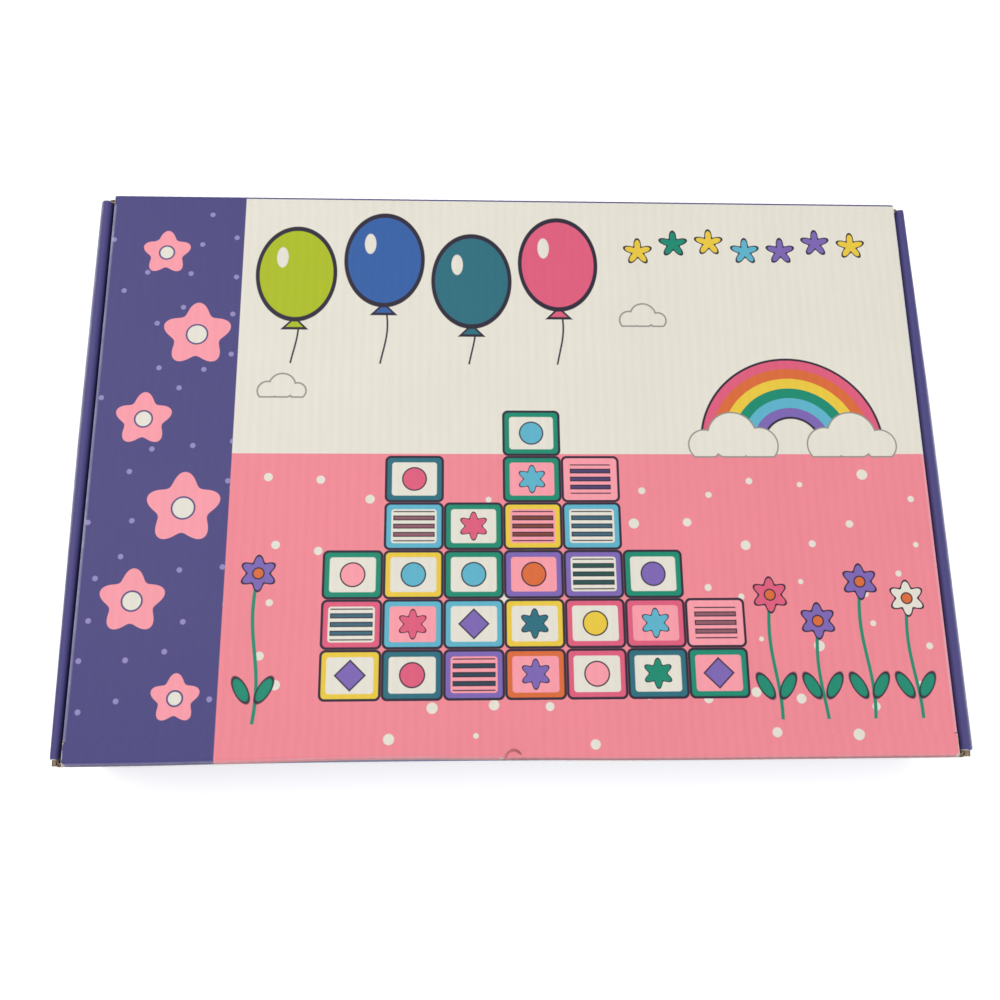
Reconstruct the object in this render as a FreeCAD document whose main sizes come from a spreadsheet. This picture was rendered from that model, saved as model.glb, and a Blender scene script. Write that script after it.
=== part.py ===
"""Printed corrugated toy carton: a roll-end, tuck-front box, lying flat with its lid closed.

One die-cut blank makes the whole carton. It is split here at one crease only, the hinge
between back wall and lid, so the model has two pieces:

    tray  bottom, front and back wall, corner flaps, rolled side walls with locking tabs
    lid   top panel, two side ears and the tuck flap behind the front wall

Millimetres. +X is the long side, +Y points to the hinge and +Z is up. The origin is the
middle of the underside. Every fold is drawn as the printed face of the board, a chain of
straight runs and tangent arcs, and thickened inwards by the board's thickness.
"""

import FreeCAD, Part

import math
import os

import Sketcher

SIZES = (
    ("board", 2.2, "thickness of the corrugated board"),
    ("crease", 0.5, "inside radius of every fold"),
    ("lid_width", 502.0, "width of the lid over its two side folds"),
    ("depth", 352.4, "front wall to back wall, outside"),
    ("height", 70.0, "underside to top face of the lid"),
    ("layer_gap", 0.2, "air between layers of board that lie on each other"),
    ("lid_gap", 1.4, "air between the lid's ears and the inner side walls"),
    ("rim_drop", 0.8, "rolled rims below the lid's top face"),
    ("rim_inset", 4.0, "rolled rims shorter than the side wall, at each end"),
    ("rim_step", 2.0, "corners of the outer side wall below the roll"),
    ("rim_round", 3.0, "rounding of the rims' ends, seen from above"),
    ("side_inset", 0.5, "cut ends of the side walls behind the front and back faces"),
    ("edge_trim", 1.0, "cut edges of the lid inside its side folds"),
    ("corner_flap", 110.0, "length of the flaps at the ends of front and back wall"),
    ("lock_width", 46.0, "locking tab, across"),
    ("lock_pitch", 210.0, "distance of the two locking tabs of one side wall"),
    ("lock_taper", 3.0, "narrowing of a locking tab on each side"),
    ("lock_rise", 0.3, "tips of the locking tabs above the underside"),
    ("lock_fit", 0.3, "air round a locking tab in its slot"),
    ("notch_radius", 10.5, "thumb notch in the front wall"),
    ("nose_turn", 40.0, "degrees that the lid's front fold rolls on past the vertical"),
    ("nose_radius", 3.0, "radius in which the roll turns back into the tuck flap"),
    ("tuck_lean", 7.0, "degrees that the tuck flap leans inwards"),
    ("tuck_length", 45.0, "straight length of the tuck flap"),
    ("tuck_gap", 0.3, "air between tuck flap and front wall at the wall's top"),
    ("tuck_side", 2.0, "air between the tuck flap's ends and the ears"),
    ("tuck_round", 18.0, "rounding of the tuck flap's corners"),
    ("ear_height", 55.0, "height of the lid's side ears"),
    ("ear_front", 14.0, "front end of an ear behind the front face"),
    ("ear_back", 6.5, "back end of an ear in front of the back face"),
    ("ear_slant", 26.0, "slant of an ear's front edge"),
    ("ear_round", 9.0, "rounding of an ear's lower corners"),
    ("ear_relief", 0.8, "slit between an ear's ends and the lid panel"),
    ("hinge_slack", 4.0, "degrees left free on each side of the hinge line"),
)

FOLD = "(sizes.board + sizes.crease)"
ROLLED_WALL = "(3 * sizes.board + 2 * sizes.layer_gap)"
INNER_FACE = "(sizes.lid_width / 2 + sizes.lid_gap)"
OUTER_FACE = f"({INNER_FACE} + {ROLLED_WALL})"
FLAP_FACE = f"({OUTER_FACE} - sizes.board - sizes.layer_gap)"
FRONT = "(-sizes.depth / 2)"
BACK = "(sizes.depth / 2)"
FLOOR_TOP = "(sizes.board + sizes.layer_gap)"
RIM_TOP = "(sizes.height - sizes.rim_drop)"
LID_EDGE = "(sizes.lid_width / 2 - sizes.edge_trim)"
ROLL_OUT = f"({FOLD} * (1 - cos(sizes.nose_turn)))"
ROLL_BACK = "(sizes.nose_radius * (cos(sizes.tuck_lean) - cos(sizes.nose_turn)))"
NOSE = f"({FRONT} + sizes.board + sizes.tuck_gap - {ROLL_OUT} - {ROLL_BACK})"
NOSE_DROP = (
    f"({FOLD} * (1 + sin(sizes.nose_turn))"
    " + sizes.nose_radius * (sin(sizes.nose_turn) - sin(sizes.tuck_lean)))"
)
EDGE_TOP = f"(sizes.height - {NOSE_DROP})"
TUCK_END = f"({EDGE_TOP} - sizes.tuck_length * cos(sizes.tuck_lean))"
TUCK_EDGE = "(sizes.lid_width / 2 - sizes.board - sizes.tuck_side)"
EAR_START = f"({FRONT} + sizes.ear_front)"
EAR_END = f"({BACK} - sizes.ear_back)"
EAR_TIP = "(sizes.height - sizes.ear_height)"
LAP = FOLD
ROUND_ABOUT = "(sizes.lid_width + sizes.depth)"

AXIS_X = FreeCAD.Vector(1, 0, 0)
AXIS_Y = FreeCAD.Vector(0, 1, 0)
AXIS_Z = FreeCAD.Vector(0, 0, 1)
PLANES = {
    "XY": FreeCAD.Rotation(),
    "XZ": FreeCAD.Rotation(AXIS_X, 90),
    "YZ": FreeCAD.Rotation(FreeCAD.Vector(1, 1, 1), 120),
}
ACROSS = {"XY": AXIS_Z, "XZ": AXIS_Y, "YZ": AXIS_X}
OFFSET_TO_LEFT = {"XY": -1, "XZ": 1, "YZ": -1}

doc = FreeCAD.newDocument("carton")


def make_sheet():
    """Spreadsheet with one plain number and one alias per driving size."""
    sheet = doc.addObject("Spreadsheet::Sheet", "sizes")
    for row, (alias, size, meaning) in enumerate(SIZES, start=1):
        sheet.set(f"A{row}", str(size))
        sheet.setAlias(f"A{row}", alias)
        sheet.set(f"B{row}", meaning)
    doc.recompute()
    return sheet


sizes = make_sheet()


def value_of(expression):
    """Present value of an expression of sheet sizes."""
    return float(sizes.evalExpression(expression))


def bind(item, **expressions):
    """Tie properties of an object to expressions of sheet sizes."""
    for prop, expression in expressions.items():
        item.setExpression(prop.replace("__", "."), expression)
    return item


def new_sketch(name, plane):
    """Empty sketch in one of the three main planes."""
    sketch = doc.addObject("Sketcher::SketchObject", name)
    sketch.Placement = FreeCAD.Placement(FreeCAD.Vector(), PLANES[plane])
    return sketch


def drive(sketch, name, expression, *constraint):
    """Add a dimension to a sketch and tie it to an expression."""
    number = value_of(expression)
    start = math.radians(number) if constraint[0] == "Angle" else number
    index = sketch.addConstraint(Sketcher.Constraint(*constraint, start))
    sketch.renameConstraint(index, name)
    sketch.setExpression(f"Constraints.{name}", expression)


def fold_path(name, plane, start, heading, steps):
    """Printed face of folded board: tangent runs and folds in one plane.

    start is a pair of expressions and heading an angle in degrees. A step is
    ("run", length) or ("fold", degrees, radius, side), where side is +1 for a
    turn to the left and -1 for a turn to the right.
    """
    sketch = new_sketch(name, plane)
    spot = FreeCAD.Vector(value_of(start[0]), value_of(start[1]), 0)
    angle = math.radians(heading)
    last = None
    for number, step in enumerate(steps):
        direction = FreeCAD.Vector(math.cos(angle), math.sin(angle), 0)
        if step[0] == "run":
            end = spot + direction * value_of(step[1])
            item = sketch.addGeometry(Part.LineSegment(spot, end))
            ends = (1, 2)
            drive(sketch, f"run{number}", step[1], "Distance", item)
        else:
            turn = math.radians(value_of(step[1]))
            radius = value_of(step[2])
            side = step[3]
            centre = spot + FreeCAD.Vector(-direction.y, direction.x, 0) * radius * side
            begin = angle - side * math.pi / 2
            span = (begin, begin + turn) if side > 0 else (begin - turn, begin)
            circle = Part.Circle(centre, AXIS_Z, radius)
            item = sketch.addGeometry(Part.ArcOfCircle(circle, *span))
            ends = (1, 2) if side > 0 else (2, 1)
            drive(sketch, f"turn{number}", step[1], "Angle", item)
            drive(sketch, f"radius{number}", step[2], "Radius", item)
            angle += side * turn
            leave = FreeCAD.Vector(math.cos(angle), math.sin(angle), 0)
            end = centre + FreeCAD.Vector(leave.y, -leave.x, 0) * radius * side
        if last is None:
            drive(sketch, "start_x", start[0], "DistanceX", -1, 1, item, ends[0])
            drive(sketch, "start_y", start[1], "DistanceY", -1, 1, item, ends[0])
            level = "Horizontal" if heading % 180 == 0 else "Vertical"
            sketch.addConstraint(Sketcher.Constraint(level, item))
        else:
            sketch.addConstraint(Sketcher.Constraint("Tangent", *last, item, ends[0]))
        last = (item, ends[1])
        spot = end
    return sketch


def outline(name, plane, corners):
    """Closed polygon whose corners are pairs of expressions."""
    sketch = new_sketch(name, plane)
    spots = [FreeCAD.Vector(value_of(x), value_of(y), 0) for x, y in corners]
    for spot, following in zip(spots, spots[1:] + spots[:1]):
        sketch.addGeometry(Part.LineSegment(spot, following))
    for number, (x, y) in enumerate(corners):
        before = (number - 1) % len(corners)
        sketch.addConstraint(Sketcher.Constraint("Coincident", before, 2, number, 1))
        drive(sketch, f"x{number}", x, "DistanceX", -1, 1, number, 1)
        drive(sketch, f"y{number}", y, "DistanceY", -1, 1, number, 1)
    return sketch


def offset(name, source, distance, join, filled):
    """Parallel curve of a sketch, filled to a face."""
    item = doc.addObject("Part::Offset2D", name)
    item.Source = source
    item.Mode = "Skin"
    item.Join = join
    item.Fill = filled
    item.Value = value_of(distance)
    return bind(item, Value=distance)


def extrude(name, face, direction, length, centred=True):
    """Solid made by moving a face along a direction."""
    item = doc.addObject("Part::Extrusion", name)
    item.Base = face
    item.DirMode = "Custom"
    item.Dir = direction
    item.Solid = True
    item.Symmetric = centred
    return bind(item, LengthFwd=length)


def folded(name, plane, start, heading, steps, width, side=1, centred=True):
    """Folded strip of board: a fold path, thickened to its left (side 1) or right (-1)."""
    path = fold_path(f"{name}_face", plane, start, heading, steps)
    thickness = f"{side * OFFSET_TO_LEFT[plane]} * sizes.board"
    section = offset(f"{name}_section", path, thickness, "Intersection", True)
    return extrude(name, section, ACROSS[plane], width, centred)


def rounded(name, plane, corners, radius):
    """Tall prism over a polygon whose corners stand back and are rounded outwards."""
    inner = doc.addObject("Part::Face", f"{name}_face")
    inner.Sources = [outline(f"{name}_corners", plane, corners)]
    shape = offset(f"{name}_outline", inner, radius, "Arc", False)
    return extrude(name, shape, ACROSS[plane], f"2 * {ROUND_ABOUT}")


def box(name, low, high):
    """Box between two corners, each a triple of expressions."""
    item = doc.addObject("Part::Box", name)
    bind(item, Placement__Base__x=low[0], Placement__Base__y=low[1])
    bind(item, Placement__Base__z=low[2])
    spans = [f"({above}) - ({below})" for below, above in zip(low, high)]
    return bind(item, Length=spans[0], Width=spans[1], Height=spans[2])


def mirrored(name, source, normal):
    """Mirror image of an object in a plane through the origin."""
    item = doc.addObject("Part::Mirroring", name)
    item.Source = source
    item.Normal = normal
    return item


def fuse(name, pieces):
    """Union of several objects."""
    item = doc.addObject("Part::MultiFuse", name)
    item.Shapes = pieces
    return item


def common(name, pieces):
    """Intersection of several objects."""
    item = doc.addObject("Part::MultiCommon", name)
    item.Shapes = pieces
    return item


def cut(name, base, tool):
    """One object less another."""
    item = doc.addObject("Part::Cut", name)
    item.Base = base
    item.Tool = tool
    return item


def make_floor_and_sides():
    """Bottom with the two outer side walls, cut free at the four bottom corners."""
    steps = (
        ("run", f"{OUTER_FACE} - {FOLD}"),
        ("fold", "90", FOLD, 1),
        ("run", f"{RIM_TOP} - 2 * {FOLD} - sizes.rim_step"),
    )
    width = "sizes.depth - 2 * sizes.side_inset"
    right = folded("right_half", "XZ", ("0", "0"), 0, steps, width)
    halves = fuse("floor_halves", [right, mirrored("left_half", right, AXIS_X)])
    reliefs = [
        box(
            f"{name}_relief",
            (f"-{OUTER_FACE} - 1", low, "-1"),
            (f"{OUTER_FACE} + 1", high, f"{FOLD} + sizes.layer_gap"),
        )
        for name, low, high in (
            ("front", f"{FRONT} - 1", f"{FRONT} + {FOLD}"),
            ("back", f"{BACK} - {FOLD}", f"{BACK} + 1"),
        )
    ]
    return cut("floor_and_sides", halves, fuse("bottom_reliefs", reliefs))


def make_front_and_back():
    """Front and back wall with their bottom folds."""
    steps = (
        ("run", f"{EDGE_TOP} - {FOLD}"),
        ("fold", "90", FOLD, 1),
        ("run", f"sizes.depth - 2 * {FOLD}"),
        ("fold", "90", FOLD, 1),
        ("run", f"{EDGE_TOP} - {FOLD}"),
    )
    start = (FRONT, EDGE_TOP)
    return folded("front_and_back", "YZ", start, 270, steps, f"2 * ({FLAP_FACE} - {FOLD})")


def make_tray_hinge():
    """Top of the back wall, up to the hinge line in the middle of the fold."""
    steps = (
        ("run", f"{NOSE_DROP} - {FOLD}"),
        ("fold", "45 - sizes.hinge_slack", FOLD, 1),
    )
    return folded("tray_hinge", "YZ", (BACK, EDGE_TOP), 90, steps, f"2 * {LID_EDGE}")


def make_corner_flaps():
    """Four flaps at the ends of front and back wall, held inside the rolled walls."""
    steps = (
        ("run", LAP),
        ("fold", "90", FOLD, 1),
        ("run", "sizes.corner_flap"),
    )
    start = (f"{FLAP_FACE} - {FOLD} - {LAP}", FRONT)
    tall = f"{EDGE_TOP} - {FOLD}"
    flap = folded("front_right_flap", "XY", start, 0, steps, tall, centred=False)
    bind(flap.Base.Source, Placement__Base__z=FOLD)
    pair = fuse("right_flaps", [flap, mirrored("back_right_flap", flap, AXIS_Y)])
    return fuse("corner_flaps", [pair, mirrored("left_flaps", pair, AXIS_X)])


def make_rolled_walls():
    """Rims and inner side walls, rolled over the corner flaps, with rounded ends."""
    steps = (
        ("run", "sizes.rim_step"),
        ("fold", "90", FOLD, 1),
        ("run", f"{ROLLED_WALL} - 2 * {FOLD}"),
        ("fold", "90", FOLD, 1),
        ("run", f"{RIM_TOP} - {FOLD} - {FLOOR_TOP}"),
    )
    start = (OUTER_FACE, f"{RIM_TOP} - {FOLD} - sizes.rim_step")
    width = "sizes.depth - 2 * sizes.rim_inset"
    right = folded("right_roll", "XZ", start, 90, steps, width)
    rolls = fuse("both_rolls", [right, mirrored("left_roll", right, AXIS_X)])
    reach = f"({OUTER_FACE} - sizes.rim_round)"
    along = "(sizes.depth / 2 - sizes.rim_inset - sizes.rim_round)"
    corners = (
        (f"-{reach}", f"-{along}"),
        (reach, f"-{along}"),
        (reach, along),
        (f"-{reach}", along),
    )
    return common("rolled_walls", [rolls, rounded("rim_plan", "XY", corners, "sizes.rim_round")])


def make_lock(name, middle):
    """One locking tab below the right inner side wall."""
    half = "sizes.lock_width / 2"
    corners = (
        (f"{middle} - {half}", FLOOR_TOP),
        (f"{middle} - {half} + sizes.lock_taper", "sizes.lock_rise"),
        (f"{middle} + {half} - sizes.lock_taper", "sizes.lock_rise"),
        (f"{middle} + {half}", FLOOR_TOP),
    )
    tab = outline(f"{name}_outline", "YZ", corners)
    bind(tab, Placement__Base__x=INNER_FACE)
    return extrude(name, tab, AXIS_X, "sizes.board", centred=False)


def make_slot(name, middle):
    """Slot in the bottom for one locking tab of the right wall."""
    half = "(sizes.lock_width / 2 + sizes.lock_fit)"
    return box(
        name,
        (f"{INNER_FACE} - sizes.lock_fit", f"{middle} - {half}", "-1"),
        (f"{INNER_FACE} + sizes.board + sizes.lock_fit", f"{middle} + {half}", f"{FLOOR_TOP}"),
    )


def make_thumb_notch():
    """Half round cut in the top edge of the front wall."""
    notch = doc.addObject("Part::Cylinder", "thumb_notch")
    notch.Placement.Rotation = FreeCAD.Rotation(AXIS_X, 90)
    bind(notch, Radius="sizes.notch_radius", Height=f"2 * {FOLD}")
    return bind(notch, Placement__Base__y=f"{FRONT} + {FOLD}", Placement__Base__z=EDGE_TOP)


def make_tray():
    """The tray, one solid of folded board."""
    spots = (("front", "(-sizes.lock_pitch / 2)"), ("back", "(sizes.lock_pitch / 2)"))
    slots = fuse("right_slots", [make_slot(f"{name}_slot", spot) for name, spot in spots])
    locks = fuse("right_locks", [make_lock(f"{name}_lock", spot) for name, spot in spots])
    floor = cut(
        "slotted_floor",
        make_floor_and_sides(),
        fuse("slots", [slots, mirrored("left_slots", slots, AXIS_X)]),
    )
    walls = cut("notched_walls", make_front_and_back(), make_thumb_notch())
    tray = fuse(
        "tray",
        [
            floor,
            walls,
            make_tray_hinge(),
            make_corner_flaps(),
            make_rolled_walls(),
            locks,
            mirrored("left_locks", locks, AXIS_X),
        ],
    )
    tray.Refine = True
    return tray


def make_panel():
    """Flat top of the lid, cut back where the ears fold down."""
    sheet = box(
        "panel_sheet",
        (f"-{LID_EDGE}", f"{NOSE} + {FOLD}", "sizes.height - sizes.board"),
        (LID_EDGE, f"{BACK} - {FOLD}", "sizes.height"),
    )
    relief = box(
        "right_ear_relief",
        (
            f"sizes.lid_width / 2 - {FOLD}",
            f"{EAR_START} - sizes.ear_relief",
            "sizes.height - 2 * sizes.board",
        ),
        (
            "sizes.lid_width / 2 + 1",
            f"{EAR_END} + sizes.ear_relief",
            "sizes.height + sizes.board",
        ),
    )
    reliefs = fuse("ear_reliefs", [relief, mirrored("left_ear_relief", relief, AXIS_X)])
    return cut("panel", sheet, reliefs)


def make_lid_hinge():
    """Back edge of the lid, down to the hinge line in the middle of the fold."""
    steps = (
        ("run", LAP),
        ("fold", "45 - sizes.hinge_slack", FOLD, -1),
    )
    start = (f"{BACK} - {FOLD} - {LAP}", "sizes.height")
    return folded("lid_hinge", "YZ", start, 0, steps, f"2 * {LID_EDGE}", side=-1)


def make_tuck_flap():
    """Front fold, which rolls over the front wall's edge, and the flap behind the wall."""
    steps = (
        ("run", LAP),
        ("fold", "90 + sizes.nose_turn", FOLD, 1),
        ("fold", "sizes.nose_turn - sizes.tuck_lean", "sizes.nose_radius", -1),
        ("run", "sizes.tuck_length"),
    )
    start = (f"{NOSE} + {FOLD} + {LAP}", "sizes.height")
    strip = folded("front_fold", "YZ", start, 180, steps, f"2 * {LID_EDGE}")
    reach = f"({TUCK_EDGE} - sizes.tuck_round)"
    corners = (
        (f"-{reach}", f"{TUCK_END} + sizes.tuck_round"),
        (reach, f"{TUCK_END} + sizes.tuck_round"),
        (reach, "sizes.height + sizes.tuck_round"),
        (f"-{reach}", "sizes.height + sizes.tuck_round"),
    )
    flap = rounded("tuck_front", "XZ", corners, "sizes.tuck_round")
    nose = box(
        "nose_front",
        (f"-{OUTER_FACE}", f"{FRONT} - {FOLD}", EDGE_TOP),
        (OUTER_FACE, BACK, "sizes.height + sizes.board"),
    )
    return common("tuck_flap", [strip, fuse("tuck_outline", [flap, nose])])


def make_right_ear():
    """Side ear of the lid, folded down inside the rolled wall."""
    steps = (
        ("run", f"sizes.ear_height - {FOLD}"),
        ("fold", "90", FOLD, 1),
        ("run", LAP),
    )
    strip = folded("ear_strip", "XZ", ("sizes.lid_width / 2", EAR_TIP), 90, steps, "sizes.depth")
    low = f"{EAR_TIP} + sizes.ear_round"
    high = "sizes.height + 2 * sizes.ear_round"
    corners = (
        (f"{EAR_START} + sizes.ear_round + sizes.ear_slant", low),
        (f"{EAR_END} - sizes.ear_round", low),
        (f"{EAR_END} - sizes.ear_round", high),
        (f"{EAR_START} + sizes.ear_round", high),
        (f"{EAR_START} + sizes.ear_round", f"sizes.height - {FOLD}"),
    )
    return common("right_ear", [strip, rounded("ear_side", "YZ", corners, "sizes.ear_round")])


def make_lid():
    """The lid, one solid of folded board."""
    ear = make_right_ear()
    pieces = [make_panel(), make_lid_hinge(), make_tuck_flap(), ear]
    lid = fuse("lid", pieces + [mirrored("left_ear", ear, AXIS_X)])
    lid.Refine = True
    return lid


def check(pieces):
    """Stop when an object failed or a piece is not one valid solid."""
    for item in doc.Objects:
        if "Invalid" in item.State or "Error" in item.State:
            raise RuntimeError(f"{item.Name} failed: {item.State}")
    for piece in pieces:
        shape = piece.Shape
        if shape.isNull() or not shape.isValid() or len(shape.Solids) != 1:
            raise RuntimeError(f"{piece.Name} is not one valid solid")


def main():
    """Build both pieces and write one STEP file for each."""
    pieces = [make_tray(), make_lid()]
    doc.recompute()
    check(pieces)
    os.makedirs("parts", exist_ok=True)
    for piece in pieces:
        piece.Label = piece.Name
        piece.Shape.exportStep(os.path.join("parts", f"{piece.Label}.step"))
        size = piece.Shape.BoundBox
        area = piece.Shape.Area / 2 / 1e6
        print(f"{piece.Label}: {size.XLength:.1f} x {size.YLength:.1f} x {size.ZLength:.1f} mm,"
              f" volume {piece.Shape.Volume:.0f} mm3, board {area:.3f} m2")


main()
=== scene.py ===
"""Looks of a printed corrugated toy carton that lies flat with its lid closed.

The folded board is rebuilt as a corrugated sheet: a printed face, a brown inside, and cut
edges that are open between two liners and show the wavy layer. Metres, in the frame of the
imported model: +X right, +Y to the hinge, +Z up.
"""

import logging
import math
from collections.abc import Callable, Sequence
from dataclasses import dataclass, field
from enum import Enum, IntEnum

import bmesh
import bpy
import numpy as np
from mathutils import Euler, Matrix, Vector


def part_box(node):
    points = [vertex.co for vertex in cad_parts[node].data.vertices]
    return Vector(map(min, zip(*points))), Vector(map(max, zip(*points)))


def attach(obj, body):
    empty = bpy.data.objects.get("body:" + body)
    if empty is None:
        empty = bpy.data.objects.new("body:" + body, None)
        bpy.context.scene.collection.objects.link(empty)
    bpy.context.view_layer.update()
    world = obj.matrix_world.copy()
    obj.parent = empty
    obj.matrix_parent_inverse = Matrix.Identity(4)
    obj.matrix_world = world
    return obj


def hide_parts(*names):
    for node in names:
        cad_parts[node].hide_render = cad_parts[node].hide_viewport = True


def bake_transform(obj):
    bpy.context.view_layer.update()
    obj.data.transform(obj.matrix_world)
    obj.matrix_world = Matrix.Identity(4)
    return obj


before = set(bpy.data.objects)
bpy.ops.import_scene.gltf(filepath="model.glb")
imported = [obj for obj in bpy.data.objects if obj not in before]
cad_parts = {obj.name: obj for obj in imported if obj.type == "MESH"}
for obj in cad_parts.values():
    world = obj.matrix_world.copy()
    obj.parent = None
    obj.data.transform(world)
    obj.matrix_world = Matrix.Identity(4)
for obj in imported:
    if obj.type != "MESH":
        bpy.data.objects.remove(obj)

logging.basicConfig(level=logging.INFO, format="%(message)s")
log = logging.getLogger("carton")

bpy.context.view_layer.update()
MM = 0.001
TINY = 1e-6
SHARP = 38.0

Array = np.ndarray
Trim = Callable[[Array, Array], tuple[Array, Array]]
Warp = Callable[[Array], Array]


class Plane(Enum):
    """Plane that a fold path is drawn in; the strip runs across it."""

    XY = "seen from above"
    XZ = "seen from the front"
    YZ = "seen from the side"

    def place(self, first: Array, second: Array, across: Array) -> Array:
        """Points in space.

        Args:
            first: First coordinate in the plane.
            second: Second coordinate in the plane.
            across: Coordinate across the plane.

        Returns:
            Array of points, one row each.
        """
        if self is Plane.XY:
            return np.stack([first, second, across], axis=-1)
        if self is Plane.XZ:
            return np.stack([first, across, second], axis=-1)
        return np.stack([across, first, second], axis=-1)


class Flutes(Enum):
    """Direction of the board's waves on a strip."""

    ALONG = "tunnels follow the fold path"
    ACROSS = "tunnels run across the fold path"


class Side(Enum):
    """Edge of a strip."""

    START = 0
    END = 1
    LOW = 2
    HIGH = 3


class Face(IntEnum):
    """Material slots of a board mesh."""

    PRINT = 0
    INSIDE = 1
    CUT = 2


@dataclass(frozen=True)
class Board:
    """Corrugated board: thickness, liners and waves."""

    thickness: float = 0.0022
    crease: float = 0.0005
    liner: float = 0.00032
    paper: float = 0.00022
    pitch: float = 0.006
    washboard: float = 0.00007
    tunnel: float = 0.009
    groove: float = 0.0006

    @property
    def fold(self) -> float:
        """Outer radius of a fold."""
        return self.thickness + self.crease

    @property
    def swing(self) -> float:
        """Height of the wavy layer's middle above and below the board's middle."""
        return self.thickness / 2 - self.liner - self.paper / 2

    @property
    def opening(self) -> float:
        """Depth to which the liners stand apart at an edge that shows the waves."""
        return self.tunnel + 0.5 * MM


@dataclass(frozen=True)
class Run:
    """Straight stretch of a fold path."""

    length: float


@dataclass(frozen=True)
class Fold:
    """Arc of a fold path; side is +1 for a turn to the left and -1 to the right."""

    degrees: float
    radius: float
    side: int = 1


class FoldPath:
    """Printed face of folded board in one plane, as tangent runs and arcs."""

    def __init__(
        self, start: tuple[float, float], heading: float, steps: Sequence[Run | Fold]
    ) -> None:
        """Lay out the path.

        Args:
            start: First point.
            heading: Direction at the start, in degrees.
            steps: Runs and folds in order. The board lies to the path's left.
        """
        self.pieces: list[tuple[float, float, Array, float, float]] = []
        spot = np.array(start, float)
        angle = math.radians(heading)
        reach = 0.0
        for step in steps:
            bend = 0.0
            length = 0.0
            if isinstance(step, Run):
                length = step.length
            else:
                bend = step.side / step.radius
                length = math.radians(step.degrees) * step.radius
            self.pieces.append((reach, reach + length, spot, angle, bend))
            spot = self._step(spot, angle, bend, np.array(length))
            angle += bend * length
            reach += length
        self.length = reach

    @staticmethod
    def _step(spot: Array, angle: float, bend: float, length: Array) -> Array:
        """Point reached after some length from a spot."""
        if bend == 0.0:
            return spot + length[..., None] * np.array([math.cos(angle), math.sin(angle)])
        turned = angle + bend * length
        return spot + np.stack(
            [np.sin(turned) - math.sin(angle), math.cos(angle) - np.cos(turned)], axis=-1
        ) / bend

    def at(self, along: Array, depth: Array) -> tuple[Array, Array]:
        """Points on or inside the board.

        Args:
            along: Lengths along the path.
            depth: Depths below the printed face.

        Returns:
            The two coordinates in the path's plane.
        """
        along, depth = np.broadcast_arrays(along, depth)
        spots = np.zeros(along.shape + (2,))
        turned = np.zeros(along.shape)
        last = len(self.pieces) - 1
        for number, (low, high, spot, angle, bend) in enumerate(self.pieces):
            here = np.ones(along.shape, bool)
            if number > 0:
                here &= along >= low
            if number < last:
                here &= along < high
            spots[here] = self._step(spot, angle, bend, along[here] - low)
            turned[here] = angle + bend * (along[here] - low)
        return spots[..., 0] - np.sin(turned) * depth, spots[..., 1] + np.cos(turned) * depth

    def end_of(self, number: int) -> float:
        """Length along the path at the end of one of its steps."""
        return self.pieces[number][1]

    def stations(self, gap: float, turn: float = 12.0, extra: Sequence[float] = ()) -> Array:
        """Lengths at which a mesh along the path gets rows.

        Args:
            gap: Largest distance on straight runs.
            turn: Largest turn between rows on arcs, in degrees.
            extra: Further lengths that get a row.

        Returns:
            Sorted lengths, none closer than a few hundredths of a millimetre.
        """
        rows = [np.asarray(extra, float)]
        for low, high, _, _, bend in self.pieces:
            if bend == 0.0:
                count = max(1, math.ceil((high - low) / gap))
            else:
                count = max(1, math.ceil(math.degrees(abs(bend) * (high - low)) / turn))
            rows.append(np.linspace(low, high, count + 1))
        return thin_out(np.concatenate(rows), self.length)


def thin_out(rows: Array, length: float | None = None, least: float = 0.00003) -> Array:
    """Sort lengths and drop those that nearly repeat.

    Args:
        rows: Lengths.
        length: Largest length kept, if any.
        least: Smallest distance kept.

    Returns:
        Sorted lengths.
    """
    rows = np.sort(rows)
    if length is not None:
        rows = rows[(rows >= -TINY) & (rows <= length + TINY)]
    keep = np.concatenate([[True], np.diff(rows) > least])
    return rows[keep]


def steady(along: Array, across: Array) -> tuple[Array, Array]:
    """Trim that leaves a strip rectangular."""
    return along, across


def still(points: Array) -> Array:
    """Warp that moves nothing."""
    return points


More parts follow.
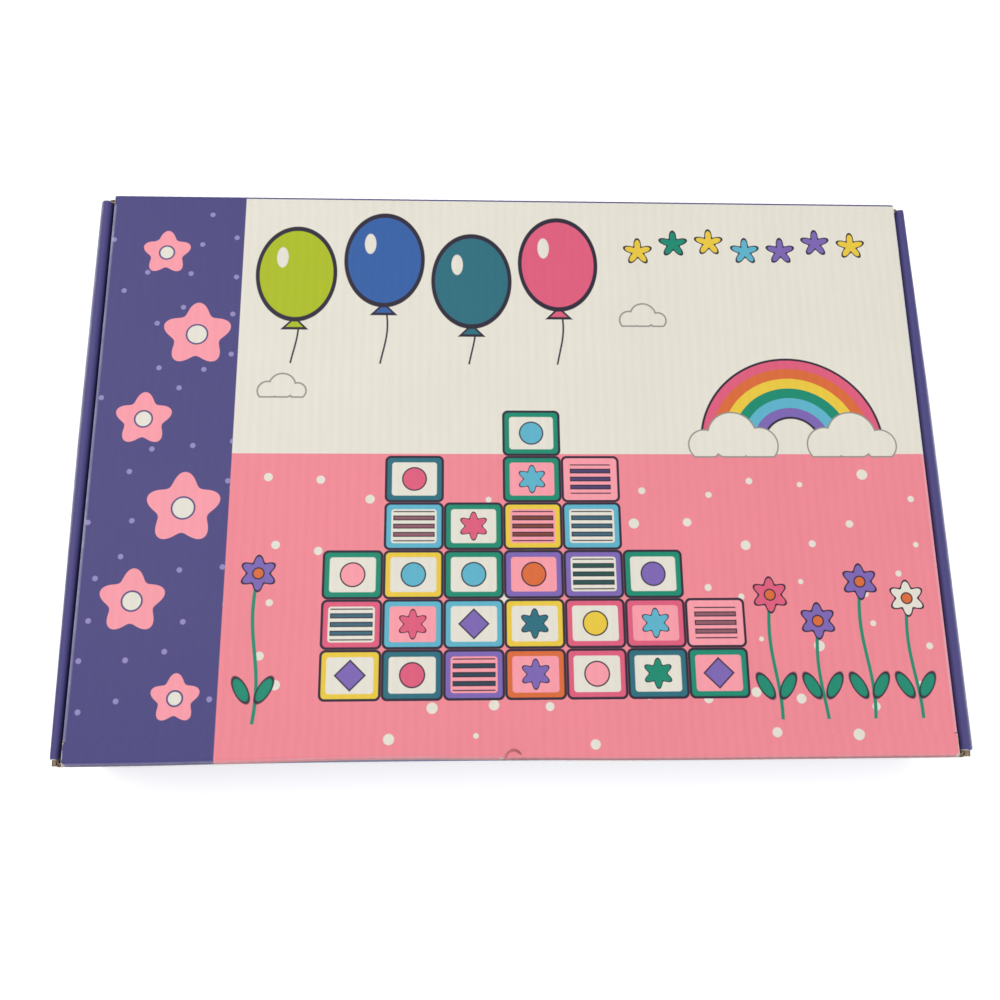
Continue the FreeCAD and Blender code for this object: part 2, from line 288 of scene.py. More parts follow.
@dataclass
class Strip:
    """Strip of folded board with open cut edges.

    inset holds how far the space between the liners is open at the start, end, low and
    high edge, zero where the board goes on. joined is the stretch along the path where
    the low and high edges meet other board. mirror holds a factor for each coordinate.
    """

    WAVE_STEPS = 14

    path: FoldPath
    plane: Plane
    along: Array
    across: Array
    flutes: Flutes
    inset: tuple[float, float, float, float]
    board: Board = field(default_factory=Board)
    trim: Trim = steady
    joined: tuple[float, float] = (0.0, 0.0)
    mirror: tuple[float, float, float] = (1.0, 1.0, 1.0)
    warp: Warp = still

    def points(self, along: Array, across: Array, depth: Array) -> Array:
        """Points in space of places on the flat strip."""
        along, across = self.trim(*np.broadcast_arrays(along, across))
        first, second = self.path.at(along, depth)
        spots = self.plane.place(first, second, across) * np.array(self.mirror)
        return self.warp(spots)

    def washboard(self, along: Array, across: Array) -> Array:
        """Depth of the liner's dips between the waves that carry it, from 0 to 1."""
        place = across if self.flutes is Flutes.ALONG else along
        return 0.5 - 0.5 * np.cos(2 * math.pi * place / self.board.pitch)

    def marks(self, along: Array, across: Array) -> Array:
        """Numbers for the finishes at places on the flat strip.

        Args:
            along: Lengths along the path.
            across: Places across it.

        Returns:
            Place along the waves, nearness to a fold and distance from a cut edge, which
            only the edges that are open have.
        """
        flute = across if self.flutes is Flutes.ALONG else along
        fold = np.zeros_like(along)
        for low, high, _, _, bend in self.path.pieces:
            if bend != 0.0:
                gap = np.abs(along - (low + high) / 2) / self.board.fold
                fold = np.maximum(fold, np.exp(-(gap**2)))
        far = self.board.tunnel
        inside = (along > self.joined[0] - TINY) & (along < self.joined[1] + TINY)
        aside = np.where(inside, far, 0.0)
        steps = (along - self.along[0], self.along[-1] - along,
                 across - self.across[0] + aside, self.across[-1] - across + aside)
        rim = np.full_like(along, far)
        for step, inset in zip(steps, self.inset):
            if inset > 0:
                rim = np.minimum(rim, step)
        return np.stack([flute, fold, rim], axis=-1)

    def shell(self, mesh: "BoardMesh") -> None:
        """Add the strip to a mesh as one closed shell.

        Args:
            mesh: Mesh to add to.
        """
        board = self.board
        rows, columns = np.meshgrid(self.along, self.across, indexing="ij")
        dips = self.washboard(rows, columns) * board.washboard
        outer = self.points(rows, columns, dips)
        inner = self.points(rows, columns, board.thickness - board.washboard + dips)
        count, width = rows.shape
        ring = [(0, j) for j in range(width - 1)]
        ring += [(i, width - 1) for i in range(count - 1)]
        ring += [(count - 1, j) for j in range(width - 1, 0, -1)]
        ring += [(i, 0) for i in range(count - 1, 0, -1)]
        picks = tuple(np.array(ring).T)
        edge_rows = rows[picks]
        edge_columns = columns[picks]
        start, end, low, high = self.inset
        deep_rows = np.clip(edge_rows, self.along[0] + start, self.along[-1] - end)
        deep_columns = np.clip(edge_columns, self.across[0] + low, self.across[-1] - high)
        floor = board.thickness - board.liner
        loops = [
            self.points(edge_rows, edge_columns, board.liner),
            self.points(deep_rows, deep_columns, board.liner),
            self.points(deep_rows, deep_columns, floor),
            self.points(edge_rows, edge_columns, floor),
        ]
        marks = self.marks(rows, columns)
        edge_marks = self.marks(edge_rows, edge_columns)
        shell = Shell()
        first = shell.add_grid(outer, marks, Face.PRINT)
        second = shell.add_grid(inner, marks, Face.INSIDE)
        middle = [shell.add_loop(loop, edge_marks) for loop in loops]
        bands = [first[picks], *middle, second[picks]]
        slots = [Face.CUT, Face.INSIDE, Face.INSIDE, Face.INSIDE, Face.CUT]
        for upper, lower, slot in zip(bands, bands[1:], slots):
            shell.add_band(upper, lower, slot)
        mesh.take(shell.closed())

    def cut_edge(self, side: Side) -> "CutEdge":
        """Line along the middle of a cut edge, for the wavy layer.

        Args:
            side: Edge that the tunnels open at.

        Returns:
            The line with the wavy layer's directions.
        """
        board = self.board
        lengthwise = side in (Side.LOW, Side.HIGH)
        span, ends = (self.along, self.across) if lengthwise else (self.across, self.along)
        gap = board.pitch / self.WAVE_STEPS
        line = np.linspace(span[0], span[-1], max(2, math.ceil((span[-1] - span[0]) / gap)))
        at_start = side in (Side.START, Side.LOW)
        edge = np.full_like(line, ends[0] if at_start else ends[-1])
        deep = edge + (board.tunnel if at_start else -board.tunnel)

        def spots(place: Array, depth: float) -> Array:
            """Points along the edge at a distance from it and a depth."""
            return self.points(*((line, place) if lengthwise else (place, line)), depth)

        middle = board.thickness / 2
        lift = MM / 10
        rim = spots(edge, middle)
        upward = (spots(edge, middle - lift) - rim) / lift
        return CutEdge(rim, spots(deep, middle) - rim, upward, line)


@dataclass(frozen=True)
class CutEdge:
    """Line along a cut edge, the way into its tunnels, the way to the print, the wave."""

    line: Array
    inward: Array
    upward: Array
    flute: Array


class Shell:
    """Points and faces of one closed shell."""

    MARKS = ("flute", "fold", "rim")

    def __init__(self) -> None:
        """Start empty."""
        self.points: list[Array] = []
        self.marks: list[Array] = []
        self.faces: list[Array] = []
        self.slots: list[Array] = []
        self.count = 0

    def add_loop(self, points: Array, marks: Array) -> Array:
        """Add points with their marks and return the points' numbers."""
        self.points.append(points.reshape(-1, 3))
        self.marks.append(marks.reshape(-1, len(self.MARKS)))
        numbers = np.arange(self.count, self.count + len(self.points[-1]))
        self.count += len(numbers)
        return numbers

    def add_faces(self, corners: Sequence[Array], slot: int) -> None:
        """Add four-sided faces with one material slot."""
        quads = np.stack(corners, axis=-1).reshape(-1, 4)
        self.faces.append(quads)
        self.slots.append(np.full(len(quads), slot))

    def add_grid(self, points: Array, marks: Array, slot: int) -> Array:
        """Add a grid of points with its faces and return the points' numbers."""
        numbers = self.add_loop(points, marks).reshape(points.shape[:2])
        corners = (numbers[:-1, :-1], numbers[1:, :-1], numbers[1:, 1:], numbers[:-1, 1:])
        self.add_faces(corners, slot)
        return numbers

    def add_band(self, upper: Array, lower: Array, slot: int) -> None:
        """Add a closed band of faces between two loops of points."""
        self.add_faces((upper, np.roll(upper, -1), np.roll(lower, -1), lower), slot)

    def closed(self) -> bpy.types.Mesh:
        """Mesh with doubles merged and faces that point outwards."""
        mesh = bpy.data.meshes.new("shell")
        faces = np.concatenate(self.faces)
        mesh.from_pydata(np.concatenate(self.points).tolist(), [], faces.tolist())
        mesh.polygons.foreach_set("material_index", np.concatenate(self.slots))
        marks = np.concatenate(self.marks)
        for number, key in enumerate(self.MARKS):
            layer = mesh.attributes.new(key, "FLOAT", "POINT")
            layer.data.foreach_set("value", marks[:, number].astype(np.float32))
        work = bmesh.new()
        work.from_mesh(mesh)
        bmesh.ops.remove_doubles(work, verts=work.verts, dist=TINY)
        bmesh.ops.dissolve_degenerate(work, edges=work.edges, dist=TINY)
        bmesh.ops.recalc_face_normals(work, faces=work.faces)
        work.to_mesh(mesh)
        work.free()
        return mesh


class BoardMesh:
    """Shells that become one piece of board."""

    def __init__(self) -> None:
        """Start empty."""
        self.work = bmesh.new()

    def take(self, mesh: bpy.types.Mesh) -> None:
        """Add all of a mesh and delete it."""
        self.work.from_mesh(mesh)
        bpy.data.meshes.remove(mesh)

    def piece(self, name: str, materials: Sequence[bpy.types.Material]) -> bpy.types.Object:
        """Finished object with one material per slot.

        Args:
            name: Name of the piece.
            materials: Materials in the order of the slots.

        Returns:
            The object, linked to the scene.
        """
        mesh = bpy.data.meshes.new(name)
        self.work.to_mesh(mesh)
        self.work.free()
        for material in materials:
            mesh.materials.append(material)
        return finished(name, mesh)


def placed(name: str, data: bpy.types.ID) -> bpy.types.Object:
    """New object with its data, linked to the scene."""
    item = bpy.data.objects.new(name, data)
    bpy.context.scene.collection.objects.link(item)
    return item


def finished(name: str, mesh: bpy.types.Mesh) -> bpy.types.Object:
    """Object of a mesh, smooth but for sharp edges, linked to the scene.

    Args:
        name: Name of the piece.
        mesh: Its mesh.

    Returns:
        The object.
    """
    mesh.validate()
    mesh.polygons.foreach_set("use_smooth", np.ones(len(mesh.polygons), bool))
    mesh.set_sharp_from_angle(angle=math.radians(SHARP))
    mesh.update()
    log.info("%s: %d faces", name, len(mesh.polygons))
    return placed(name, mesh)


def arithmetic(kind: str) -> Callable[..., "Term"]:
    """Method of a term for one kind of arithmetic.

    Args:
        kind: Operation of the node.

    Returns:
        The method. It takes the term and further terms or numbers.
    """

    def method(*values: object) -> "Term":
        """Result of the arithmetic."""
        return values[0].nodes.maths(kind, *values)

    return method


class Term:
    """Output of a node that takes part in sums.

    above and below give one where they hold and zero elsewhere. For shapes given by
    distances, least joins two of them and most gives what they share.
    """

    __add__ = arithmetic("ADD")
    __sub__ = arithmetic("SUBTRACT")
    __mul__ = arithmetic("MULTIPLY")
    __truediv__ = arithmetic("DIVIDE")
    __abs__ = arithmetic("ABSOLUTE")
    above = arithmetic("GREATER_THAN")
    below = arithmetic("LESS_THAN")
    least = arithmetic("MINIMUM")
    most = arithmetic("MAXIMUM")
    whole = arithmetic("FLOOR")
    sine = arithmetic("SINE")
    cosine = arithmetic("COSINE")

    def __init__(self, nodes: "Nodes", socket: bpy.types.NodeSocket) -> None:
        """Keep the tree and the output."""
        self.nodes = nodes
        self.socket = socket

    def __rsub__(self, other: float) -> "Term":
        """Number minus this."""
        return self.nodes.maths("SUBTRACT", other, self)

    def rise(self, low: float, high: float) -> "Term":
        """Zero up to one value, one from another, straight between them."""
        span = high - low
        return self.nodes.maths("MULTIPLY_ADD", self, 1 / span, -low / span, clamp=True)


class Nodes:
    """Node tree with short ways to add to it."""

    def __init__(self, tree: bpy.types.NodeTree) -> None:
        """Keep the tree."""
        self.tree = tree

    def add(
        self, kind: str, inputs: dict[str | int, object] | None = None, **settings: object
    ) -> bpy.types.Node:
        """New node.

        Args:
            kind: Type of the node.
            inputs: What goes into its inputs, by name or number.
            settings: Its settings.

        Returns:
            The node.
        """
        item = self.tree.nodes.new(kind)
        for key, setting in settings.items():
            setattr(item, key, setting)
        for key, value in (inputs or {}).items():
            self.join(value, item.inputs[key])
        return item

    def term(
        self, kind: str, output: str | int, inputs: dict[str | int, object] | None = None,
        **settings: object
    ) -> Term:
        """Output of a new node; the other arguments are those of add."""
        return Term(self, self.add(kind, inputs, **settings).outputs[output])

    def join(self, value: object, socket: bpy.types.NodeSocket) -> None:
        """Link a term or an output, or set a number or a colour."""
        if isinstance(value, Term):
            value = value.socket
        if isinstance(value, bpy.types.NodeSocket):
            self.tree.links.new(value, socket)
        elif isinstance(value, tuple) and socket.type == "RGBA":
            socket.default_value = (*value, 1.0)
        else:
            socket.default_value = value

    def maths(self, operation: str, *values: object, clamp: bool = False) -> Term:
        """Arithmetic on numbers."""
        inputs = dict(enumerate(values))
        return self.term("ShaderNodeMath", 0, inputs, operation=operation, use_clamp=clamp)

    def scaled(self, vector: Term, factor: Term | float) -> Term:
        """Vector or colour times a factor."""
        inputs = {0: vector, "Scale": factor}
        return self.term("ShaderNodeVectorMath", 0, inputs, operation="SCALE")


class Fluting:
    """Wavy layer that shows at the cut edges, made by a node tree from lines."""

    INPUTS = (("Pitch", "pitch"), ("Swing", "swing"), ("Paper", "paper"))
    MARKS = (("inward", "FLOAT_VECTOR"), ("upward", "FLOAT_VECTOR"), ("flute", "FLOAT"))

    def __init__(self, board: Board, material: bpy.types.Material) -> None:
        """Keep the sizes and build the tree.

        Args:
            board: Sizes of the board.
            material: Finish of the wavy layer.
        """
        self.board = board
        self.material = material
        self.tree = self._tree()

    def _tree(self) -> bpy.types.NodeTree:
        """Node tree: lines become waves, waves become sheets, sheets get a thickness."""
        tree = bpy.data.node_groups.new("fluting", "GeometryNodeTree")
        face = tree.interface
        face.new_socket("Geometry", in_out="OUTPUT", socket_type="NodeSocketGeometry")
        numbers = [(label, "Float") for label, _ in self.INPUTS]
        for label, kind in (("Geometry", "Geometry"), *numbers, ("Material", "Material")):
            face.new_socket(label, in_out="INPUT", socket_type=f"NodeSocket{kind}")
        nodes = Nodes(tree)
        source = nodes.add("NodeGroupInput").outputs
        pitch, swing, paper = (Term(nodes, source[label]) for label, _ in self.INPUTS)
        named = "GeometryNodeInputNamedAttribute"
        inward, upward, flute = (
            nodes.term(named, "Attribute", {"Name": name}, data_type=kind)
            for name, kind in self.MARKS
        )
        wave = (flute / pitch * (2 * math.pi)).cosine() * swing
        offset = nodes.scaled(upward, wave - paper * 0.5)
        inputs = {"Geometry": source["Geometry"], "Offset": offset}
        line = nodes.term("GeometryNodeSetPosition", 0, inputs)
        extrude = "GeometryNodeExtrudeMesh"
        sheet = nodes.term(extrude, "Mesh", {"Mesh": line, "Offset": inward}, mode="EDGES")
        inputs = {"Mesh": sheet, "Offset": nodes.scaled(upward, paper), "Individual": False}
        thick = nodes.term(extrude, "Mesh", inputs, mode="FACES")
        under = nodes.term("GeometryNodeFlipFaces", 0, {"Mesh": sheet})
        both = nodes.add("GeometryNodeJoinGeometry", {0: under})
        nodes.join(thick, both.inputs[0])
        inputs = {"Geometry": both.outputs[0], "Distance": TINY}
        merged = nodes.term("GeometryNodeMergeByDistance", 0, inputs)
        real = nodes.term("GeometryNodeRealizeInstances", 0, {0: merged})
        inputs = {"Geometry": real, "Material": source["Material"]}
        nodes.add("NodeGroupOutput", {0: nodes.term("GeometryNodeSetMaterial", 0, inputs)})
        return tree

    def piece(self, name: str, edges: Sequence[CutEdge]) -> bpy.types.Object:
        """Wavy layer along several cut edges of one body.

        Args:
            name: Name of the piece.
            edges: The cut edges.

        Returns:
            The object, linked to the scene.
        """
        mesh = bpy.data.meshes.new(f"{name}_lines")
        links: list[tuple[int, int]] = []
        count = 0
        for edge in edges:
            links += [(count + i, count + i + 1) for i in range(len(edge.line) - 1)]
            count += len(edge.line)
        mesh.from_pydata(np.concatenate([edge.line for edge in edges]).tolist(), links, [])
        for key, kind in self.MARKS:
            layer = mesh.attributes.new(key, kind, "POINT")
            values = np.concatenate([getattr(edge, key) for edge in edges])
            word = "value" if kind == "FLOAT" else "vector"
            layer.data.foreach_set(word, values.astype(np.float32).ravel())
        lines = placed(mesh.name, mesh)
        modifier = lines.modifiers.new("fluting", "NODES")
        modifier.node_group = self.tree
        sockets = {item.name: item.identifier for item in self.tree.interface.items_tree
                   if item.in_out == "INPUT"}
        for label, key in self.INPUTS:
            modifier[sockets[label]] = getattr(self.board, key)
        modifier[sockets["Material"]] = self.material
        graph = bpy.context.evaluated_depsgraph_get()
        result = bpy.data.meshes.new_from_object(lines.evaluated_get(graph))
        bpy.data.objects.remove(lines)
        result.name = name
        for key, _ in self.MARKS:
            result.attributes.remove(result.attributes[key])
        return finished(name, result)


@dataclass(frozen=True)
class CartonSizes:
    """Sizes of the carton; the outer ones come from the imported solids."""

    lid_width: float
    depth: float
    height: float
    outer_width: float
    board: Board = field(default_factory=Board)
    layer_gap: float = 0.2 * MM
    lid_gap: float = 1.4 * MM
    rim_drop: float = 0.8 * MM
    rim_inset: float = 4 * MM
    rim_step: float = 2 * MM
    rim_round: float = 3 * MM
    side_inset: float = 0.5 * MM
    edge_trim: float = 1 * MM
    corner_flap: float = 110 * MM
    lock_width: float = 46 * MM
    lock_pitch: float = 210 * MM
    lock_taper: float = 3 * MM
    lock_rise: float = 0.3 * MM
    lock_fit: float = 0.3 * MM
    notch_radius: float = 10.5 * MM
    nose_turn: float = 40.0
    nose_radius: float = 3 * MM
    tuck_lean: float = 7.0
    tuck_length: float = 45 * MM
    tuck_gap: float = 0.3 * MM
    tuck_side: float = 2 * MM
    tuck_round: float = 18 * MM
    ear_height: float = 55 * MM
    ear_front: float = 14 * MM
    ear_back: float = 6.5 * MM
    ear_slant: float = 26 * MM
    ear_round: float = 9 * MM
    ear_relief: float = 0.4 * MM
    crease_reach: float = 8 * MM
    row_gap: float = 12 * MM

    @classmethod
    def from_frame(cls) -> "CartonSizes":
        """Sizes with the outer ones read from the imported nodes."""
        lid_low, lid_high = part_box("lid")
        tray_low, tray_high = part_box("tray")
        return cls(
            lid_width=lid_high[0] - lid_low[0],
            depth=tray_high[1] - tray_low[1],
            height=lid_high[2],
            outer_width=tray_high[0] - tray_low[0],
        )

    @property
    def front(self) -> float:
        """Outer face of the front wall."""
        return -self.depth / 2

    @property
    def back(self) -> float:
        """Outer face of the back wall."""
        return self.depth / 2

    @property
    def outer_face(self) -> float:
        """Outer face of the right side wall."""
        return self.outer_width / 2

    @property
    def inner_face(self) -> float:
        """Inward face of the right rolled wall."""
        return self.lid_width / 2 + self.lid_gap

    @property
    def flap_face(self) -> float:
        """Outer face of the right corner flaps."""
        return self.outer_face - self.board.thickness - self.layer_gap

    @property
    def lid_edge(self) -> float:
        """Cut edge of the lid beside its ears."""
        return self.lid_width / 2 - self.edge_trim

    @property
    def rim_top(self) -> float:
        """Top of the rolled rims."""
        return self.height - self.rim_drop

    @property
    def floor_top(self) -> float:
        """Lowest place of what stands on the bottom."""
        return self.board.thickness + self.layer_gap

    @property
    def nose(self) -> float:
        """Front end of the lid."""
        turn = math.cos(math.radians(self.nose_turn))
        out = self.board.fold * (1 - turn)
        back = self.nose_radius * (math.cos(math.radians(self.tuck_lean)) - turn)
        return self.front + self.board.thickness + self.tuck_gap - out - back

    @property
    def edge_top(self) -> float:
        """Top edge of the front wall and the corner flaps."""
        turn = math.sin(math.radians(self.nose_turn))
        lean = math.sin(math.radians(self.tuck_lean))
        return self.height - self.board.fold * (1 + turn) - self.nose_radius * (turn - lean)


def stepped(rows: Sequence[tuple[float, float]]) -> Callable[[Array], Array]:
    """Function that runs in straight lines through points.

    Args:
        rows: Places and values, places rising.

    Returns:
        The function.
    """
    places, values = zip(*rows)
    return lambda place: np.interp(place, places, values)


def round_end(distance: Array, radius: float) -> Array:
    """How far a rounded corner stands back at a distance from the edge."""
    short = np.clip(radius - distance, 0.0, radius)
    return radius - np.sqrt(radius**2 - short**2)


class Pieces:
    """Makes the pieces of folded board and keeps the maker of their wavy layers."""

    def __init__(self, fluting: Fluting, plain: Sequence[bpy.types.Material]) -> None:
        """Keep the maker of wavy layers and the unprinted finishes.

        Args:
            fluting: Maker of the wavy layers.
            plain: Finishes of the inside and the cut edges.
        """
        self.fluting = fluting
        self.plain = plain

    def board(
        self, name: str, strips: Sequence[Strip], printed: bpy.types.Material
    ) -> bpy.types.Object:
        """One piece of folded board made of several strips.

        Args:
            name: Name of the piece.
            strips: Its strips.
            printed: Finish of its printed face.

        Returns:
            The object.
        """
        mesh = BoardMesh()
        for strip in strips:
            strip.shell(mesh)
        return mesh.piece(name, (printed, *self.plain))


@dataclass(frozen=True)
class FrontBow:
    """Inward bow of the long front edge, shared by the lid and the front wall."""

    depth: float = 2.4 * MM
    place: float = -84 * MM
    spread: float = 105 * MM
    reach: float = 251 * MM

    def push(self, across: Array) -> Array:
        """How far the edge stands back at a place across the carton."""
        side = np.clip(1 - (across / self.reach) ** 2, 0.0, 1.0)
        aside = (across - self.place) / self.spread
        return self.depth * side * np.exp(-(aside**2))


def ramp(place: Array, start: float, end: float) -> Array:
    """Share that runs in a straight line from 0 at the start to 1 at the end."""
    return np.clip((place - start) / (end - start), 0.0, 1.0)


@dataclass
class Tray:
    """Bottom, walls, corner flaps and rolled side walls.

    Widths change over the length blend. The locking tabs widen the last stretch, fold_back.
    rounding lists rows across the rims' rounded ends, in millimetres from the end.
    """

    sizes: CartonSizes
    printed: bpy.types.Material
    bow: FrontBow = field(default_factory=FrontBow)
    lean_left: float = 2.0 * MM
    lean_right: float = 1.5 * MM
    bow_zone: tuple[float, float] = (12 * MM, 3 * MM)
    left_reach: tuple[float, float] = (10 * MM, -170 * MM)
    right_reach: tuple[float, float] = (40 * MM, 170 * MM)
    blend: float = 0.3 * MM
    fold_back: float = 5 * MM
    slit: float = 0.03 * MM
    rounding: tuple[float, ...] = (0.0, 0.3, 0.7, 1.2, 2.0, 3.0, 4.5)
    edges: list[CutEdge] = field(default_factory=list)

    @property
    def seam(self) -> float:
        """Where the flat bottom passes to the side walls' strips."""
        return self.sizes.inner_face - self.sizes.lock_fit

    def spine(self) -> Strip:
        """Front wall, bottom and back wall."""
        size = self.sizes
        board = size.board
        corner = Fold(90, board.fold)
        front = Run(size.edge_top - board.fold)
        bottom = Run(size.depth - 2 * board.fold)
        back = Run(size.height - 2 * board.fold - size.crease_reach)
        steps = (front, corner, bottom, corner, back)
        path = FoldPath((size.front, size.edge_top), 270, steps)
        wall_end, floor_start, floor_end, wall_start = (path.end_of(i) for i in range(4))
        wide = size.flap_face - board.fold
        half = stepped((
            (floor_start, wide), (floor_start + self.blend, self.seam),
            (floor_end - self.blend, self.seam), (floor_end, wide),
            (wall_start, wide), (wall_start + self.blend, size.lid_edge),
        ))
        radius = size.notch_radius

        def trim(along: Array, across: Array) -> tuple[Array, Array]:
            """Widths of the walls and the thumb notch."""
            across = across * half(along) / wide
            notch = np.sqrt(np.clip(radius**2 - across**2, 0.0, None))
            upper = notch + along * (wall_end - notch) / wall_end
            return np.where(along < wall_end, upper, along), across

        flat = np.arange(-wide, wide, board.pitch / 4)
        columns = np.concatenate([flat, [wide], np.linspace(-radius, radius, 33)])
        folds = (floor_start, floor_end, wall_start)
        marks = [place + side * self.blend for place in folds for side in (-1, 1)]
        strip = Strip(
            path,
            Plane.YZ,
            path.stations(size.row_gap, extra=[*marks, board.tunnel, 2 * MM]),
            thin_out(columns),
            Flutes.ALONG,
            (board.opening, 0.0, board.groove, board.groove),
            trim=trim,
            joined=(0.0, path.length),
            warp=self.warp,
        )
        self.edges.append(strip.cut_edge(Side.START))
        return strip

    def warp(self, points: Array) -> Array:
        """Real walls: the front one bows inwards at its top and the side walls lean in."""
        size = self.sizes
        x, y, z = np.moveaxis(points, -1, 0)
        near = ramp(y - size.front, *self.bow_zone)
        rise = ramp(z, 0.0, size.edge_top)
        left = self.lean_left * ramp(y, *self.left_reach)
        right = self.lean_right * ramp(y, *self.right_reach)
        layer = ramp(np.abs(x), size.inner_face, size.outer_face)
        moved = points.copy()
        moved[..., 0] -= np.sign(x) * np.where(x < 0, left, right) * layer * rise**1.5
        moved[..., 1] += self.bow.push(x) * near * rise**2
        return moved

    def side_wall(self, mirror: float) -> Strip:
        """Rolled side wall with its part of the bottom."""
        size = self.sizes
        board = size.board
        corner = Fold(90, board.fold)
        floor = Run(size.outer_face - board.fold - self.seam)
        outer = Run(size.rim_top - 2 * board.fold)
        rim = Run(size.outer_face - size.inner_face - 2 * board.fold)
        inner = Run(size.rim_top - board.fold - size.floor_top)
        steps = (floor, corner, outer, corner, rim, corner, inner)
        path = FoldPath((self.seam, 0.0), 0, steps)
        floor_end = path.end_of(0)
        upright = path.end_of(1)
        roll = path.end_of(2) - size.rim_step
        half_wall = size.depth / 2 - size.side_inset
        rises = (upright + 0.4 * MM, roll - 0.4 * MM, roll + 0.2 * MM)
        half = stepped((
            (upright, size.depth / 2 - board.fold), (rises[0], half_wall),
            (rises[1], half_wall), (rises[2], size.depth / 2 - size.rim_inset),
        ))
        half_lock = size.lock_width / 2
        slot_depth = board.thickness + 2 * size.lock_fit

        def from_lock(across: Array) -> Array:
            """Distance from the middle of the nearest locking tab."""
            return np.abs(np.abs(across) - size.lock_pitch / 2)

        def trim(along: Array, across: Array) -> tuple[Array, Array]:
            """Ends of the wall and the rim, slots in the bottom and locking tabs."""
            plan = path.at(along, 0.0)[0]
            cut = round_end(size.outer_face - plan, size.rim_round)
            cut = np.where(along > roll, cut, 0.0)
            across = across * (half(along) - cut) / half_wall
            in_slot = from_lock(across) < half_lock + size.lock_fit
            slot = np.where(in_slot, slot_depth, 0.0)
            low = slot + along * (floor_end - slot) / floor_end
            along = np.where(along < floor_end, low, along)
            tab = ramp(from_lock(across), half_lock, half_lock - size.lock_taper)
            share = ramp(along, path.length - self.fold_back, path.length)
            return along + share * tab * (size.floor_top - size.lock_rise), across

        slit = self.slit
        breaks = (0.0, size.lock_taper, -size.lock_fit - slit, -size.lock_fit + slit)
        places = [side * (size.lock_pitch / 2 + end * (half_lock - step))
                  for side in (-1, 1) for end in (-1, 1) for step in breaks]
        tips = half_wall - np.array(self.rounding) * MM
        columns = np.concatenate([np.linspace(-half_wall, half_wall, 37), places, tips, -tips])
        strip = Strip(
            path,
            Plane.XZ,
            path.stations(board.pitch / 4, extra=[*rises, path.length - self.fold_back]),
            thin_out(columns),
            Flutes.ACROSS,
            (0.0, board.groove, board.opening, board.opening),
            trim=trim,
            mirror=(mirror, 1.0, 1.0),
            warp=self.warp,
        )
        self.edges += [strip.cut_edge(Side.LOW), strip.cut_edge(Side.HIGH)]
        return strip

    def corner_flap(self, mirror: tuple[float, float]) -> Strip:
        """Flap at one end of the front or back wall."""
        size = self.sizes
        board = size.board
        start = size.flap_face - board.fold
        steps = [Fold(90, board.fold), Run(size.corner_flap)]
        if mirror[1] < 0:
            steps.insert(0, Run(start - size.lid_edge))
            start = size.lid_edge
        path = FoldPath((start, size.front), 0, steps)
        rows = np.linspace(board.fold + self.blend, size.edge_top, 7)
        strip = Strip(
            path,
            Plane.XY,
            path.stations(board.pitch / 4),
            thin_out(np.append(rows, size.edge_top - board.opening)),
            Flutes.ACROSS,
            (0.0, board.groove, board.groove, board.opening),
            mirror=(*mirror, 1.0),
            warp=self.warp,
        )
        self.edges.append(strip.cut_edge(Side.HIGH))
        return strip

    def build(self, pieces: Pieces) -> None:
        """Make the tray's board and wavy layer."""
        signs = (-1.0, 1.0)
        strips = [self.spine()]
        strips += [self.side_wall(side) for side in signs]
        strips += [self.corner_flap((side, end)) for side in signs for end in signs]
        board = pieces.board("tray_board", strips, self.printed)
        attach(board, "tray")
        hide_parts("tray")
        waves = pieces.fluting.piece("tray_fluting", self.edges)
        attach(waves, "tray")


